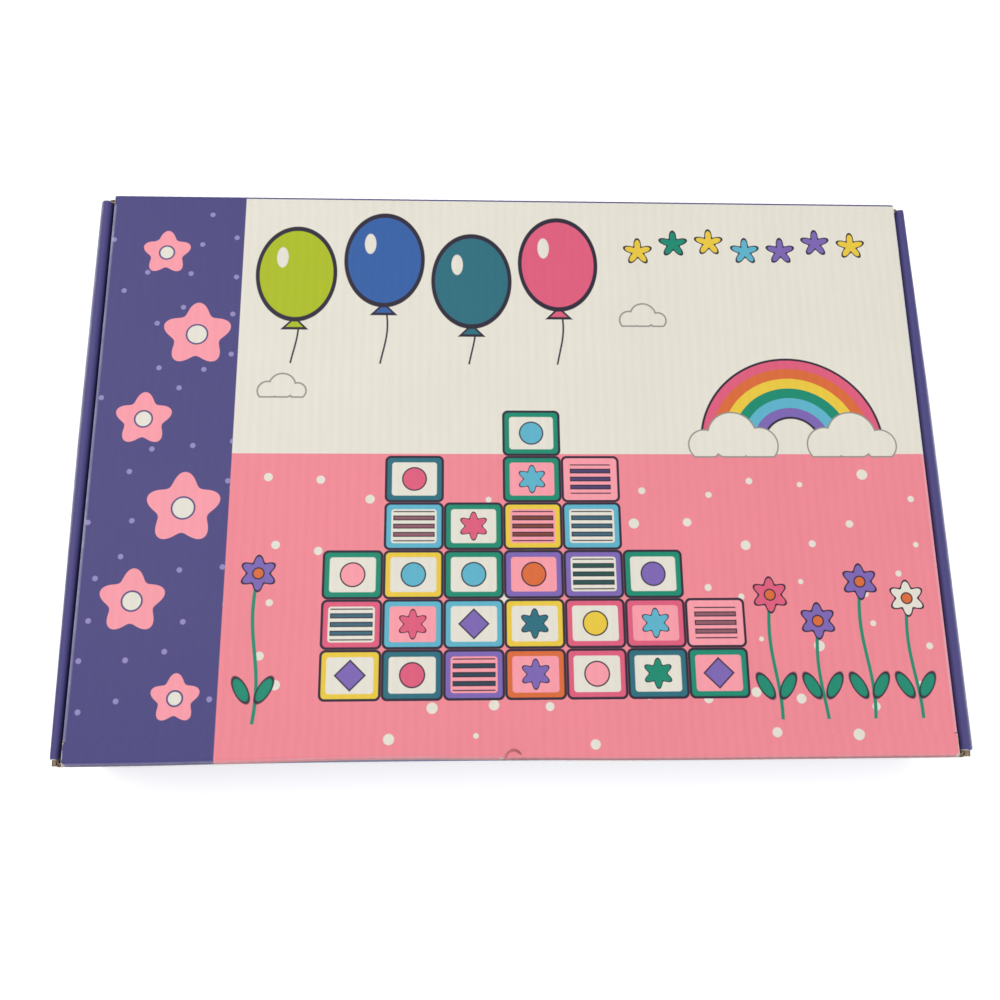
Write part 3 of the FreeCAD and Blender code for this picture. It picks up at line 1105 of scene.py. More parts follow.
@dataclass
class Lid:
    """Top panel, tuck flap and side ears.

    slack is the sag at the middle. overhang brings the front fold out over the front wall.
    rounding lists rows across the tuck flap's round corners, in millimetres from its end.
    """

    sizes: CartonSizes
    printed: bpy.types.Material
    slack: float = 1.3 * MM
    overhang: float = 0.9 * MM
    bow: FrontBow = field(default_factory=FrontBow)
    bow_start: float = 0.7
    dent: float = 0.9 * MM
    dent_place: float = -2.5 * MM
    dent_radius: float = 4.6 * MM
    dent_width: float = 0.8 * MM
    dent_columns: tuple[float, float] = (-14 * MM, 10 * MM)
    dent_gap: float = 0.7 * MM
    step: float = 0.1 * MM
    flare: float = 0.6 * MM
    rounding: tuple[float, ...] = (0.4, 1.0, 2.0, 3.5, 5.5, 8.0, 13.0)
    edges: list[CutEdge] = field(default_factory=list)

    @property
    def ear_start(self) -> float:
        """Front end of the ears."""
        return self.sizes.front + self.sizes.ear_front

    @property
    def ear_end(self) -> float:
        """Back end of the ears."""
        return self.sizes.back - self.sizes.ear_back

    @property
    def start(self) -> float:
        """Where the panel passes to the hinge crease."""
        return self.sizes.back - self.sizes.board.fold - self.sizes.crease_reach

    def spine(self) -> Strip:
        """Top panel, front fold and tuck flap."""
        size = self.sizes
        board = size.board
        panel = Run(self.start - size.nose - board.fold)
        nose = Fold(90 + size.nose_turn, board.fold)
        under = Fold(size.nose_turn - size.tuck_lean, size.nose_radius, -1)
        steps = (panel, nose, under, Run(size.tuck_length))
        path = FoldPath((self.start, size.height), 180, steps)
        wide = size.lid_edge
        slim = size.lid_width / 2 - board.fold
        tuck = size.lid_width / 2 - board.thickness - size.tuck_side
        tuck_start = path.end_of(2)
        ear_stop = self.start - self.ear_start + size.ear_relief
        half = stepped((
            (ear_stop, slim), (ear_stop + self.step, wide),
            (tuck_start - self.flare, wide), (tuck_start + self.flare, tuck),
        ))

        def trim(along: Array, across: Array) -> tuple[Array, Array]:
            """Widths beside the ears and of the tuck flap, with its rounded corners."""
            corner = round_end(path.length - along, size.tuck_round)
            return along, across * (half(along) - corner) / wide

        flat = np.arange(-wide, wide, board.pitch / 4)
        dent = np.arange(*self.dent_columns, self.dent_gap)
        marks = np.concatenate([
            [ear_stop, ear_stop + self.step, tuck_start + self.flare],
            path.end_of(0) - np.arange(0.7, 12.0, 0.7) * MM,
            path.length - np.array(self.rounding) * MM,
        ])
        strip = Strip(
            path,
            Plane.YZ,
            path.stations(size.row_gap, turn=9, extra=marks),
            thin_out(np.concatenate([flat, [wide], dent]), least=0.3 * MM),
            Flutes.ALONG,
            (0.0, board.opening, board.groove, board.groove),
            trim=trim,
            joined=(self.start - self.ear_end, ear_stop - size.ear_relief),
            warp=self.warp,
        )
        self.edges.append(strip.cut_edge(Side.END))
        return strip

    def warp(self, points: Array) -> Array:
        """Real lid: it sags between its folds, its front bows in and has a small dent."""
        size = self.sizes
        x, y, z = np.moveaxis(points, -1, 0)
        side = np.clip(1 - (x / (size.lid_width / 2)) ** 2, 0.0, 1.0)
        end = np.clip(1 - (y / self.start) ** 2, 0.0, 1.0)
        near = ramp(y, -self.start * self.bow_start, -self.start)
        moved = points.copy()
        moved[..., 2] -= self.slack * side * end**2
        moved[..., 1] += self.bow.push(x) * near
        front = ramp(y, size.nose + 9 * MM, size.nose + 1 * MM)
        upper = ramp(z, size.edge_top + 0.5 * MM, size.edge_top + 2.5 * MM)
        moved[..., 1] -= self.overhang * front * upper
        across = x - self.dent_place
        behind = y - size.nose
        ring = (np.hypot(across, behind) - self.dent_radius) / self.dent_width
        left = ramp(behind - across * 0.4, 0.0, 2 * MM)
        top = z > size.height - size.board.fold - size.nose_radius
        moved[..., 2] -= self.dent * np.exp(-(ring**2)) * left * top
        return moved

    def ear(self, mirror: float) -> Strip:
        """Side ear with its fold."""
        size = self.sizes
        board = size.board
        steps = (Run(size.ear_height - board.fold), Fold(90, board.fold))
        path = FoldPath((size.lid_width / 2, size.height - size.ear_height), 90, steps)
        radius = size.ear_round
        low_corner = np.array([self.ear_start + radius + size.ear_slant, radius])
        top_corner = np.array([self.ear_start + radius, size.ear_height - board.fold])
        square = math.atan2(*(top_corner - low_corner)[::-1]) + math.pi / 2
        corners = (
            (low_corner, np.linspace(1.5 * math.pi, square, 8)),
            (top_corner, np.linspace(square, math.pi, 5)),
        )
        rim = [corner + radius * np.array([math.cos(turn), math.sin(turn)])
               for corner, turns in corners for turn in turns]
        front = stepped([(height, place) for place, height in rim])

        def trim(along: Array, across: Array) -> tuple[Array, Array]:
            """Slanted front end and rounded lower corners."""
            low = front(along)
            high = self.ear_end - round_end(along, radius)
            return along, low + across * (high - low)

        opening = board.opening / (self.ear_end - self.ear_start)
        columns = np.concatenate([np.linspace(0, 1, 31), [opening, 1 - opening]])
        strip = Strip(
            path,
            Plane.XZ,
            path.stations(board.pitch / 4, extra=[0.3 * MM, 0.8 * MM]),
            thin_out(columns, least=0.003),
            Flutes.ACROSS,
            (board.groove, 0.0, opening, opening),
            trim=trim,
            mirror=(mirror, 1.0, 1.0),
            warp=self.warp,
        )
        self.edges += [strip.cut_edge(Side.LOW), strip.cut_edge(Side.HIGH)]
        return strip

    def build(self, pieces: Pieces) -> None:
        """Make the lid's board and wavy layer."""
        strips = [self.spine(), self.ear(-1.0), self.ear(1.0)]
        board = pieces.board("lid_board", strips, self.printed)
        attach(board, "lid")
        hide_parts("lid")
        waves = pieces.fluting.piece("lid_fluting", self.edges)
        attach(waves, "lid")


@dataclass
class HingeCrease:
    """Board that bends between back wall and lid."""

    sizes: CartonSizes
    printed: bpy.types.Material
    step: float = 0.1 * MM
    row_gap: float = 1 * MM

    def build(self, pieces: Pieces) -> None:
        """Make the strip."""
        size = self.sizes
        board = size.board
        reach = size.crease_reach
        steps = (Run(reach), Fold(90, board.fold), Run(reach))
        path = FoldPath((size.back, size.height - board.fold - reach), 90, steps)
        wide = size.lid_edge
        ear_stop = path.length - (size.ear_back - board.fold) + size.ear_relief
        ends = (ear_stop, ear_stop + self.step)
        half = stepped(((ends[0], wide), (ends[1], size.lid_width / 2 - board.fold)))

        def trim(along: Array, across: Array) -> tuple[Array, Array]:
            """Width beside the ears."""
            return along, across * half(along) / wide

        strip = Strip(
            path,
            Plane.YZ,
            path.stations(self.row_gap, turn=10, extra=ends),
            thin_out(np.append(np.arange(-wide, wide, board.pitch / 4), wide)),
            Flutes.ALONG,
            (0.0, 0.0, board.groove, board.groove),
            trim=trim,
            joined=(ear_stop, path.length),
        )
        piece = pieces.board("hinge_crease", [strip], self.printed)
        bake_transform(piece)


Colour = tuple[float, float, float]


def ink(red: float, green: float, blue: float) -> Colour:
    """Linear colour of a screen colour from 0 to 255."""
    shares = np.array([red, green, blue]) / 255
    linear = np.where(shares <= 0.04045, shares / 12.92, ((shares + 0.055) / 1.055) ** 2.4)
    return tuple(float(share) for share in linear)


class Finish(Nodes):
    """Shader tree of one finish."""

    MIX_INPUTS = (0, 6, 7)
    MIX_RESULT = 2

    def __init__(self, name: str) -> None:
        """Start a material.

        Args:
            name: Name of the material.
        """
        self.material = bpy.data.materials.new(name)
        self.material.use_nodes = True
        super().__init__(self.material.node_tree)
        self.shader = self.tree.nodes["Principled BSDF"].inputs
        self.coordinates = self.term("ShaderNodeTexCoord", "Object")

    def place(self) -> tuple[Term, Term, Term]:
        """Position on the object in millimetres."""
        parts = self.add("ShaderNodeSeparateXYZ", {0: self.scaled(self.coordinates, 1 / MM)})
        return tuple(Term(self, part) for part in parts.outputs)

    def attribute(self, name: str) -> Term:
        """Number kept at the mesh's points."""
        return self.term("ShaderNodeAttribute", "Fac", attribute_name=name)

    def waves(self, board: Board) -> Term:
        """Height of the board's waves below a place, from -1 to 1."""
        return (self.attribute("flute") * (2 * math.pi / board.pitch)).cosine()

    def joined(self, *parts: object) -> Term:
        """Vector of numbers."""
        return self.term("ShaderNodeCombineXYZ", 0, dict(enumerate(parts)))

    def length(self, first: Term, second: Term) -> Term:
        """Distance from the origin."""
        inputs = {0: self.joined(first, second)}
        return self.term("ShaderNodeVectorMath", "Value", inputs, operation="LENGTH")

    def noise(self, size: float, detail: float = 3.0, stretch: Sequence[float] = (1, 1, 1)) -> Term:
        """Noise from 0 to 1.

        Args:
            size: Size of its spots in millimetres.
            detail: Number of finer layers.
            stretch: Factors that lengthen the spots along X, Y and Z.

        Returns:
            The noise.
        """
        scale = [1 / (size * MM * part) for part in stretch]
        inputs = {"Vector": self.coordinates, "Scale": scale}
        spots = self.term("ShaderNodeMapping", 0, inputs)
        inputs = {"Vector": spots, "Scale": 1.0, "Detail": detail, "Roughness": 0.6}
        return self.term("ShaderNodeTexNoise", "Fac", inputs)

    def chance(self, first: Term, second: Term | float, seed: float) -> Term:
        """Number from 0 to 1 that is the same all over one cell."""
        inputs = {"Vector": self.joined(first, second, seed)}
        return self.term("ShaderNodeTexWhiteNoise", "Value", inputs, noise_dimensions="3D")

    def mix(self, share: Term | float, first: object, second: object) -> Term:
        """Colour between two colours."""
        inputs = dict(zip(self.MIX_INPUTS, (share, first, second)))
        return self.term("ShaderNodeMix", self.MIX_RESULT, inputs, data_type="RGBA")

    def pick(self, place: Term, colours: Sequence[Colour]) -> Term:
        """One of several colours by a number from 0 to 1."""
        item = self.add("ShaderNodeValToRGB", {"Fac": place})
        item.color_ramp.interpolation = "CONSTANT"
        stops = item.color_ramp.elements
        while len(stops) < len(colours):
            stops.new(0.0)
        for number in range(len(colours)):
            stops[number].position = number / len(colours)
        for stop, colour in zip(stops, colours):
            stop.color = (*colour, 1.0)
        return Term(self, item.outputs["Color"])

    def table(self, place: Term, values: Sequence[float]) -> Term:
        """One of several numbers by a number from 0 to 1."""
        low = min(values)
        span = max(values) - low
        greys = [((value - low) / span,) * 3 for value in values]
        return self.pick(place, greys) * span + low

    def dress(
        self, colour: Term, roughness: Term, height: Term, depth: float, specular: float = 0.5
    ) -> bpy.types.Material:
        """Connect the shader.

        Args:
            colour: Base colour.
            roughness: Roughness.
            height: Height of the relief, from 0 to 1.
            depth: Depth of the relief in millimetres.
            specular: Strength of the mirror-like light.

        Returns:
            The material.
        """
        relief = self.term("ShaderNodeBump", 0, {"Distance": depth * MM, "Height": height})
        self.join(colour, self.shader["Base Color"])
        self.join(roughness, self.shader["Roughness"])
        self.join(specular, self.shader["Specular IOR Level"])
        self.join(relief, self.shader["Normal"])
        return self.material


@dataclass(frozen=True)
class Inks:
    """Colours of the print."""

    purple: Colour = ink(78, 73, 131)
    lilac: Colour = ink(150, 140, 196)
    white: Colour = ink(233, 229, 216)
    pink: Colour = ink(243, 140, 152)
    blush: Colour = ink(252, 160, 172)
    outline: Colour = ink(46, 40, 58)
    lime: Colour = ink(176, 192, 32)
    blue: Colour = ink(52, 98, 168)
    teal: Colour = ink(44, 112, 128)
    rose: Colour = ink(226, 96, 128)
    sky: Colour = ink(96, 182, 206)
    green: Colour = ink(24, 142, 114)
    yellow: Colour = ink(238, 204, 66)
    orange: Colour = ink(222, 110, 58)
    violet: Colour = ink(128, 104, 182)
    grey: Colour = ink(150, 146, 140)

    @property
    def bright(self) -> tuple[Colour, ...]:
        """Colours of the toy blocks and blooms."""
        return (self.sky, self.rose, self.green, self.violet, self.yellow, self.blush,
                self.teal, self.orange)


def cell(place: Term, pitch: float, start: float = 0.0) -> tuple[Term, Term]:
    """Cell of a row that a place lies in.

    Args:
        place: The place.
        pitch: Width of a cell.
        start: Start of cell 0.

    Returns:
        The cell's number and the way from its middle to the place.
    """
    way = place - start
    number = (way / pitch).whole()
    return number, way - (number + 0.5) * pitch


class Picture:
    """Colour of a print that shapes are painted on, one over another."""

    SOFT = 0.22

    def __init__(self, finish: Finish, ground: object) -> None:
        """Start with the ground colour."""
        self.finish = finish
        self.colour = ground

    def cover(self, distance: Term) -> Term:
        """One inside a shape, zero outside."""
        return distance.rise(self.SOFT, -self.SOFT)

    def paint(self, distance: Term, colour: object, line: float = 0.0, edge: object = None) -> None:
        """Paint a shape.

        Args:
            distance: Distance from the shape's edge, less than zero inside.
            colour: Its colour.
            line: Width of its outline in millimetres, if it has one.
            edge: Colour of the outline.
        """
        self.colour = self.finish.mix(self.cover(distance), self.colour, colour)
        if line > 0:
            border = abs(distance) - line / 2
            self.colour = self.finish.mix(self.cover(border), self.colour, edge)

    def disc(self, x: Term, y: Term, radius: float | Term) -> Term:
        """Distance to a disc."""
        return self.finish.length(x, y) - radius

    def oval(self, x: Term, y: Term, half: tuple[float, float]) -> Term:
        """Rough distance to an oval."""
        return (self.finish.length(x / half[0], y / half[1]) - 1.0) * min(half)

    def panel(self, x: Term, y: Term, half: tuple[float, float], corner: float) -> Term:
        """Distance to a box with round corners."""
        wide = (abs(x) - (half[0] - corner)).most(0.0)
        high = (abs(y) - (half[1] - corner)).most(0.0)
        return self.finish.length(wide, high) - corner

    def bloom(self, x: Term, y: Term, radius: float | Term, petals: int, depth: float) -> Term:
        """Rough distance to a flower or a soft star."""
        angle = self.finish.maths("ARCTAN2", x, y)
        edge = (angle * float(petals)).cosine() * depth + (1 - depth)
        return self.finish.length(x, y) - edge * radius

    def cloud(self, x: Term, y: Term, size: float) -> Term:
        """Distance to a cloud with a flat foot."""
        left = self.disc(x + 1.1 * size, y, 0.75 * size)
        middle = self.disc(x, y - 0.4 * size, size)
        right = self.disc(x - 1.15 * size, y, 0.65 * size)
        return left.least(middle).least(right).most(y * -1.0 - 0.5 * size)


@dataclass(frozen=True)
class LidPicture:
    """Picture of balloons, toy blocks, a rainbow and blooms on the lid, in millimetres.

    line, fine and thin are widths of outlines. Rows of like things are cells of one pitch.
    """

    inks: Inks = field(default_factory=Inks)
    band: float = -167.7
    horizon: float = 4.2
    edge: float = 167.0
    line: float = 2.4
    fine: float = 1.4
    thin: float = 0.8
    balloon: tuple[float, float] = (24.0, 31.0)
    balloon_pitch: float = 54.5
    balloon_start: float = -161.5
    balloon_heights: tuple[float, ...] = (122.0, 132.0, 118.0, 130.0)
    shine: tuple[float, float] = (3.6, 7.0)
    shine_place: tuple[float, float] = (-9.0, 11.0)
    string_foot: float = 62.0
    string_half: float = 0.55
    string_sway: float = 2.5
    star_pitch: float = 23.0
    star_height: float = 143.0
    star_sway: float = 4.0
    star_radius: float = 9.0
    star_row: tuple[float, float] = (149.0, 79.0)
    brick: tuple[float, float] = (35.0, 29.0)
    brick_gap: float = 0.7
    brick_frame: float = 4.2
    mark_disc: float = 7.0
    mark_radius: float = 8.5
    bar_pitch: float = 5.0
    bar_half: float = 1.1
    wall_start: float = -112.0
    wall_foot: float = -142.0
    wall_rows: tuple[int, ...] = (3, 5, 4, 6, 5, 3, 2)
    rainbow: tuple[float, float] = (170.0, 10.0)
    rainbow_radius: float = 56.0
    rainbow_cloud: float = 15.0
    ring: float = 6.4
    clouds: tuple[tuple[float, float], ...] = ((82.0, 92.0), (-140.0, 44.0))
    cloud_size: float = 8.0
    flower_pitch: float = 27.0
    flower_foot: float = -154.0
    flower_low: float = -112.0
    flower_span: float = 46.0
    petals: float = 10.5
    eye: float = 3.2
    leaf: tuple[float, float] = (3.0, 5.5)
    leaf_place: tuple[float, float] = (6.5, 13.0)
    dot_pitch: float = 31.0
    dot_shift: float = 19.0
    dot_least: float = 1.3
    dot_span: float = 2.0
    blossom_pitch: float = 55.0
    blossom_start: float = -167.0
    blossom_places: tuple[float, ...] = (-191.0, -219.0, -194.0, -221.0, -193.0, -215.0)
    blossom_sizes: tuple[float, ...] = (14.0, 19.0, 22.0, 17.0, 21.0, 15.0)
    spot_pitch: float = 26.0
    spot_shift: float = 16.0
    spot: float = 1.6

    def balloons(self, art: Picture, x: Term, y: Term) -> None:
        """Four large balloons on strings."""
        inks = self.inks
        pitch = self.balloon_pitch
        count = len(self.balloon_heights)
        number, across = cell(x, pitch, self.balloon_start)
        share = (number + 0.5) / count
        up = y - art.finish.table(share, self.balloon_heights)
        colour = art.finish.pick(share, (inks.lime, inks.blue, inks.teal, inks.rose))
        half_row = pitch * count / 2
        row = abs(x - self.balloon_start - half_row) - half_row
        low = up + self.balloon[1]
        string = abs(across - (y * 0.09).sine() * self.string_sway) - self.string_half
        art.paint(string.most(low).most(self.string_foot - y).most(row), inks.outline)
        knot = (abs(across) + low - 1.0).most(-6.0 - low).most(row)
        art.paint(knot, colour, self.line * 0.7, inks.outline)
        art.paint(art.oval(across, up, self.balloon).most(row), colour, self.line, inks.outline)
        aside, above = self.shine_place
        art.paint(art.oval(across - aside, up - above, self.shine).most(row), inks.white)

    def stars(self, art: Picture, x: Term, y: Term) -> None:
        """Row of small stars in many colours."""
        number, along = cell(x, self.star_pitch)
        up = y - self.star_height - (number * 1.7).sine() * self.star_sway
        star = art.bloom(along, up, self.star_radius, 5, 0.28)
        middle, half_row = self.star_row
        shown = star.most(abs(x - middle) - half_row)
        colour = art.finish.pick(art.finish.chance(number, 0.0, 3.0), self.inks.bright)
        art.paint(shown, colour, self.fine, self.inks.outline)

    def arch(self, art: Picture, x: Term, y: Term) -> None:
        """Rainbow that stands on two clouds."""
        inks = self.inks
        across = x - self.rainbow[0]
        up = y - self.rainbow[1]
        reach = art.finish.length(across, up)
        rings = (inks.violet, inks.sky, inks.green, inks.yellow, inks.orange, inks.rose)
        width = self.ring * len(rings)
        inner = self.rainbow_radius - width
        middle = (self.rainbow_radius + inner) / 2
        arc = (abs(reach - middle) - width / 2).most(up * -1.0)
        colour = art.finish.pick((reach - inner) / width, rings)
        art.paint(arc, colour, self.fine, inks.outline)
        foot = art.cloud(abs(across) - middle, up, self.rainbow_cloud)
        art.paint(foot, inks.white, 0.9, inks.grey)

    def blocks(self, art: Picture, x: Term, y: Term) -> None:
        """Stack of toy blocks with a shape on each."""
        inks = self.inks
        finish = art.finish
        wide, high = self.brick
        column, across = cell(x, wide, self.wall_start)
        row, up = cell(y, high, self.wall_foot)
        count = len(self.wall_rows)
        rows = finish.table((column + 0.5) / count, self.wall_rows) - 0.5
        inside = row.above(-0.5) * row.below(rows) * column.above(-0.5) * column.below(count - 0.5)
        hidden = (1.0 - inside) * 100.0
        seeds = (1.0, 7.0, 11.0, 17.0)
        base, paper, kind, tone = (finish.chance(column, row, seed) for seed in seeds)
        block, inlay = (
            art.panel(across, up, (wide / 2 - inset, high / 2 - inset), corner)
            for inset, corner in ((self.brick_gap, 3.0), (self.brick_frame, 1.8))
        )
        art.paint(block + hidden, finish.pick(base, inks.bright), 1.5, inks.outline)
        art.paint(inlay + hidden, finish.pick(paper, (inks.white, inks.blush, inks.white)))
        disc = art.disc(across, up, self.mark_disc)
        diamond = (abs(across) + abs(up) - self.mark_radius) * 0.7
        bloom = art.bloom(across, up, self.mark_radius, 6, 0.2)
        bar = up - (up / self.bar_pitch + 0.5).whole() * self.bar_pitch
        bars = (abs(bar) - self.bar_half).most(inlay + 1.5)
        shape = self.choose(kind, (disc, diamond, bloom, bars))
        art.paint(shape + hidden, finish.pick(tone, inks.bright), self.thin, inks.outline)

    def choose(self, number: Term, shapes: Sequence[Term]) -> Term:
        """One of several distances by a number from 0 to 1."""
        chosen = shapes[0]
        for place, shape in enumerate(shapes[1:], start=1):
            chosen = chosen + (shape - chosen) * number.above(place / len(shapes))
        return chosen

    def blooms(self, art: Picture, x: Term, y: Term) -> None:
        """Flowers on stems at the lower right and the lower left."""
        inks = self.inks
        finish = art.finish
        pitch = self.flower_pitch
        number, across = cell(x, pitch)
        up = y - (finish.chance(number, 0.0, 5.0) * self.flower_span + self.flower_low)
        ends = (5 * pitch - abs(x)).most(x - 9 * pitch).most(self.band + 5.0 - x)
        stem = (abs(across - (up * 0.07).sine() * 2.0) - 1.0).most(up)
        art.paint(stem.most(self.flower_foot - y).most(ends), inks.green)
        aside, above = self.leaf_place
        slant = y - (self.flower_foot + above) - abs(across) * 0.9
        leaf = art.oval((abs(across) - aside) * 0.6, slant, self.leaf)
        art.paint(leaf.most(ends), inks.green, 0.7, inks.outline)
        petals = art.bloom(across, up, self.petals, 6, 0.18)
        colours = (inks.white, inks.sky, inks.yellow, inks.violet, inks.white, inks.rose)
        colour = finish.pick(finish.chance(number, 0.0, 9.0), colours)
        art.paint(petals.most(ends), colour, 1.2, inks.outline)
        eye = art.disc(across, up, self.eye).most(ends)
        art.paint(eye, inks.orange, self.thin, inks.outline)

    def dots(self, art: Picture, x: Term, y: Term) -> None:
        """Scattered white dots on the pink."""
        chance = art.finish.chance
        column, across = cell(x, self.dot_pitch)
        row, up = cell(y, self.dot_pitch)
        across = across - (chance(column, row, 2.0) - 0.5) * self.dot_shift
        up = up - (chance(column, row, 4.0) - 0.5) * self.dot_shift
        radius = chance(column, row, 6.0) * self.dot_span + self.dot_least
        art.paint(art.disc(across, up, radius).most(abs(y - up) - self.edge), self.inks.white)

    def band_blooms(self, art: Picture, x: Term, y: Term) -> None:
        """Blossoms and spots on the dark band."""
        inks = self.inks
        finish = art.finish
        number, up = cell(y, self.blossom_pitch, self.blossom_start)
        share = (number + 0.5) / len(self.blossom_places)
        across = x - finish.table(share, self.blossom_places)
        radius = finish.table(share, self.blossom_sizes)
        flower = art.bloom(across, up, radius, 5, 0.16)
        column, aside = cell(x, self.spot_pitch)
        row, rise = cell(y, self.spot_pitch)
        shift = (finish.chance(column, row, 8.0) - 0.5) * self.spot_shift
        rise = rise + shift
        spot = art.disc(aside - shift, rise, self.spot).most(abs(y - rise) - self.edge)
        band = x - self.band
        art.paint(spot.most(band), inks.lilac)
        art.paint(flower.most(band), inks.blush)
        art.paint(art.disc(across, up, radius * 0.3).most(band), inks.white, 1.0, inks.purple)

    def paint(self, finish: Finish, x: Term, y: Term) -> Term:
        """Whole picture.

        Args:
            finish: Finish that it is painted in.
            x: Place from left to right.
            y: Place from front to back.

        Returns:
            Its colour.
        """
        inks = self.inks
        art = Picture(finish, inks.white)
        art.paint(y - self.horizon, inks.pink)
        dotted = Picture(finish, art.colour)
        self.dots(dotted, x, y)
        art.colour = finish.mix(art.cover(y - self.horizon + 2.0), art.colour, dotted.colour)
        for across, up in self.clouds:
            art.paint(abs(art.cloud(x - across, y - up, self.cloud_size)) - 0.5, inks.grey)
        for motif in (self.stars, self.arch, self.balloons, self.blooms, self.blocks):
            motif(art, x, y)
        art.paint(x - self.band, inks.purple)
        self.band_blooms(art, x, y)
        return art.colour


@dataclass(frozen=True)
class WearAndHighlight:
    """Rubbed folds and chipped edges of printed board, with a painted highlight on the folds, in
    millimetres.
    """

    fibre: Colour = ink(214, 206, 190)
    painted_highlight: Colour = ink(244, 246, 255)
    rubbed: Colour = ink(204, 200, 212)

    def apply(self, finish: Finish, colour: Term, ridges: Term | float, chips: Term) -> Term:
        """Colour with its wear and a painted highlight on the folds.

        Args:
            finish: The finish.
            colour: Colour of the print.
            ridges: How much painted highlight and rubbed wear each fold shows.
            chips: Distance from the corners that are chipped.

        Returns:
            The colour.
        """
        fold = finish.attribute("fold")
        rim = finish.attribute("rim") / MM
        spots = finish.noise(3.0, 4.0)
        streaks = finish.noise(16.0, 5.0)
        # Painted highlight along the middle of each fold's arc, broken into streaks.
        ridge_highlight = fold.rise(0.45, 1.0) * (streaks * 0.32 + 0.1)
        colour = finish.mix(ridge_highlight * ridges, colour, self.painted_highlight)
        worn = (fold * 0.6 + streaks * 0.75).rise(0.88, 1.12) * spots.rise(0.38, 0.62)
        colour = finish.mix(worn * ridges * 0.5, colour, self.rubbed)
        nicks = (spots * 2.2 - rim.least(chips)).rise(0.62, 0.95)
        return finish.mix(nicks * 0.8, colour, self.fibre)


@dataclass(frozen=True)
class PrintedBoard:
    """Coated printed face with the washboard look of the waves beneath, in relief and painted
    shade.
    """

    board: Board
    inks: Inks = field(default_factory=Inks)
    wear_and_highlight: WearAndHighlight = field(default_factory=WearAndHighlight)
    sheen: float = 0.22
    relief: float = 0.02

    def surface(
        self, finish: Finish, colour: Term, ridges: Term | float, chips: Term
    ) -> bpy.types.Material:
        """Add washboard relief with its painted shade, random tone, wear with painted fold
        highlights, and sheen to a print.

        Args:
            finish: The finish.
            colour: Colour of the print.
            ridges: How much painted highlight and rubbed wear each fold shows.
            chips: Distance from the corners that are chipped, in millimetres.

        Returns:
            The material.
        """
        patches = finish.noise(60.0, 3.0)
        grain = finish.noise(0.7, 3.0)
        streaks = finish.noise(2.2, 2.0, (1, 14, 14))
        # The waves' term is painted shade of the washboard ripples; patches, streaks and grain add
        # random tone.
        tone_and_washboard_shade = finish.waves(self.board) * 0.012 + patches * 0.07 + streaks * 0.05
        tone_and_washboard_shade = tone_and_washboard_shade + grain * 0.03 + 0.925
        colour = finish.scaled(self.wear_and_highlight.apply(finish, colour, ridges, chips), tone_and_washboard_shade)
        roughness = patches * 0.16 + grain * 0.1 + 0.36
        return finish.dress(colour, roughness, grain + streaks * 0.5, self.relief, self.sheen)


@dataclass(frozen=True)
class LidPrint(PrintedBoard):
    """Printed face of the lid, in millimetres.

    The plain colour of the walls wraps over the back fold. dent and nick hold a place and a
    radius; the dent's crease gets a painted shade line. The painted shade under the front fold
    holds its least share and its span, its zone below the top, and the stretch in which it rises.
    """

    picture: LidPicture = field(default_factory=LidPicture)
    wrap: float = 2.3
    dent: tuple[float, float] = (-2.5, 4.6)
    nick: tuple[float, float] = (-9.5, 0.9)
    chip: float = 2.0
    nose_shade: tuple[float, float] = (0.1, 0.32)
    nose_shade_zone: tuple[float, float] = (2.4, 0.45)
    nose_shade_rise: tuple[float, float] = (-10.0, 2.0)

    def build(self, sizes: CartonSizes) -> bpy.types.Material:
        """Make the material: the picture on top, plain colour on the flaps."""
        finish = Finish("lid_print")
        x, y, z = finish.place()
        back = sizes.back / MM
        top = sizes.height / MM
        flaps = y.above(back - self.wrap).most(z.below(sizes.edge_top / MM - 1.0))
        colour = finish.mix(flaps, self.picture.paint(finish, x, y), self.inks.purple)
        # Painted shade along the crease of the dent behind the front fold.
        across = x - self.dent[0]
        ring = abs(finish.length(across, y + back - self.wrap) - self.dent[1]) - 0.3
        crease_shade = ring.rise(0.5, -0.2) * (across * 0.4 - y - back + 2.0).below(0.0)
        crease_shade = crease_shade * z.above(top - 2.5)
        # Painted shade under the front fold, darker towards the right.
        low, high = self.nose_shade_zone
        nose = z.below(top - high) * z.above(top - low) * y.below(8.0 - back)
        least, span = self.nose_shade
        nose_shade = nose * (x.rise(*self.nose_shade_rise) * span + least)
        # Darken the print by the painted shade of the dent's crease and of the front fold.
        colour = finish.scaled(colour, (crease_shade * 0.2 + nose_shade) * -1.0 + 1.0)
        corners = finish.length(abs(x) - sizes.lid_edge / MM, abs(y) - back + 1.0)
        chips = corners - finish.chance(x.above(0.0), y.above(0.0), 1.0) * self.chip
        chips = chips.least(finish.length(x - self.nick[0], y + back - 1.6) - self.nick[1])
        # Painted highlight and rubbed wear on the folds, stronger on the top, none on the back
        # fold.
        ridges = (z.above(top - 0.9) * 0.75 + 0.25) * y.below(back - 6.0)
        return self.surface(finish, colour, ridges, chips)


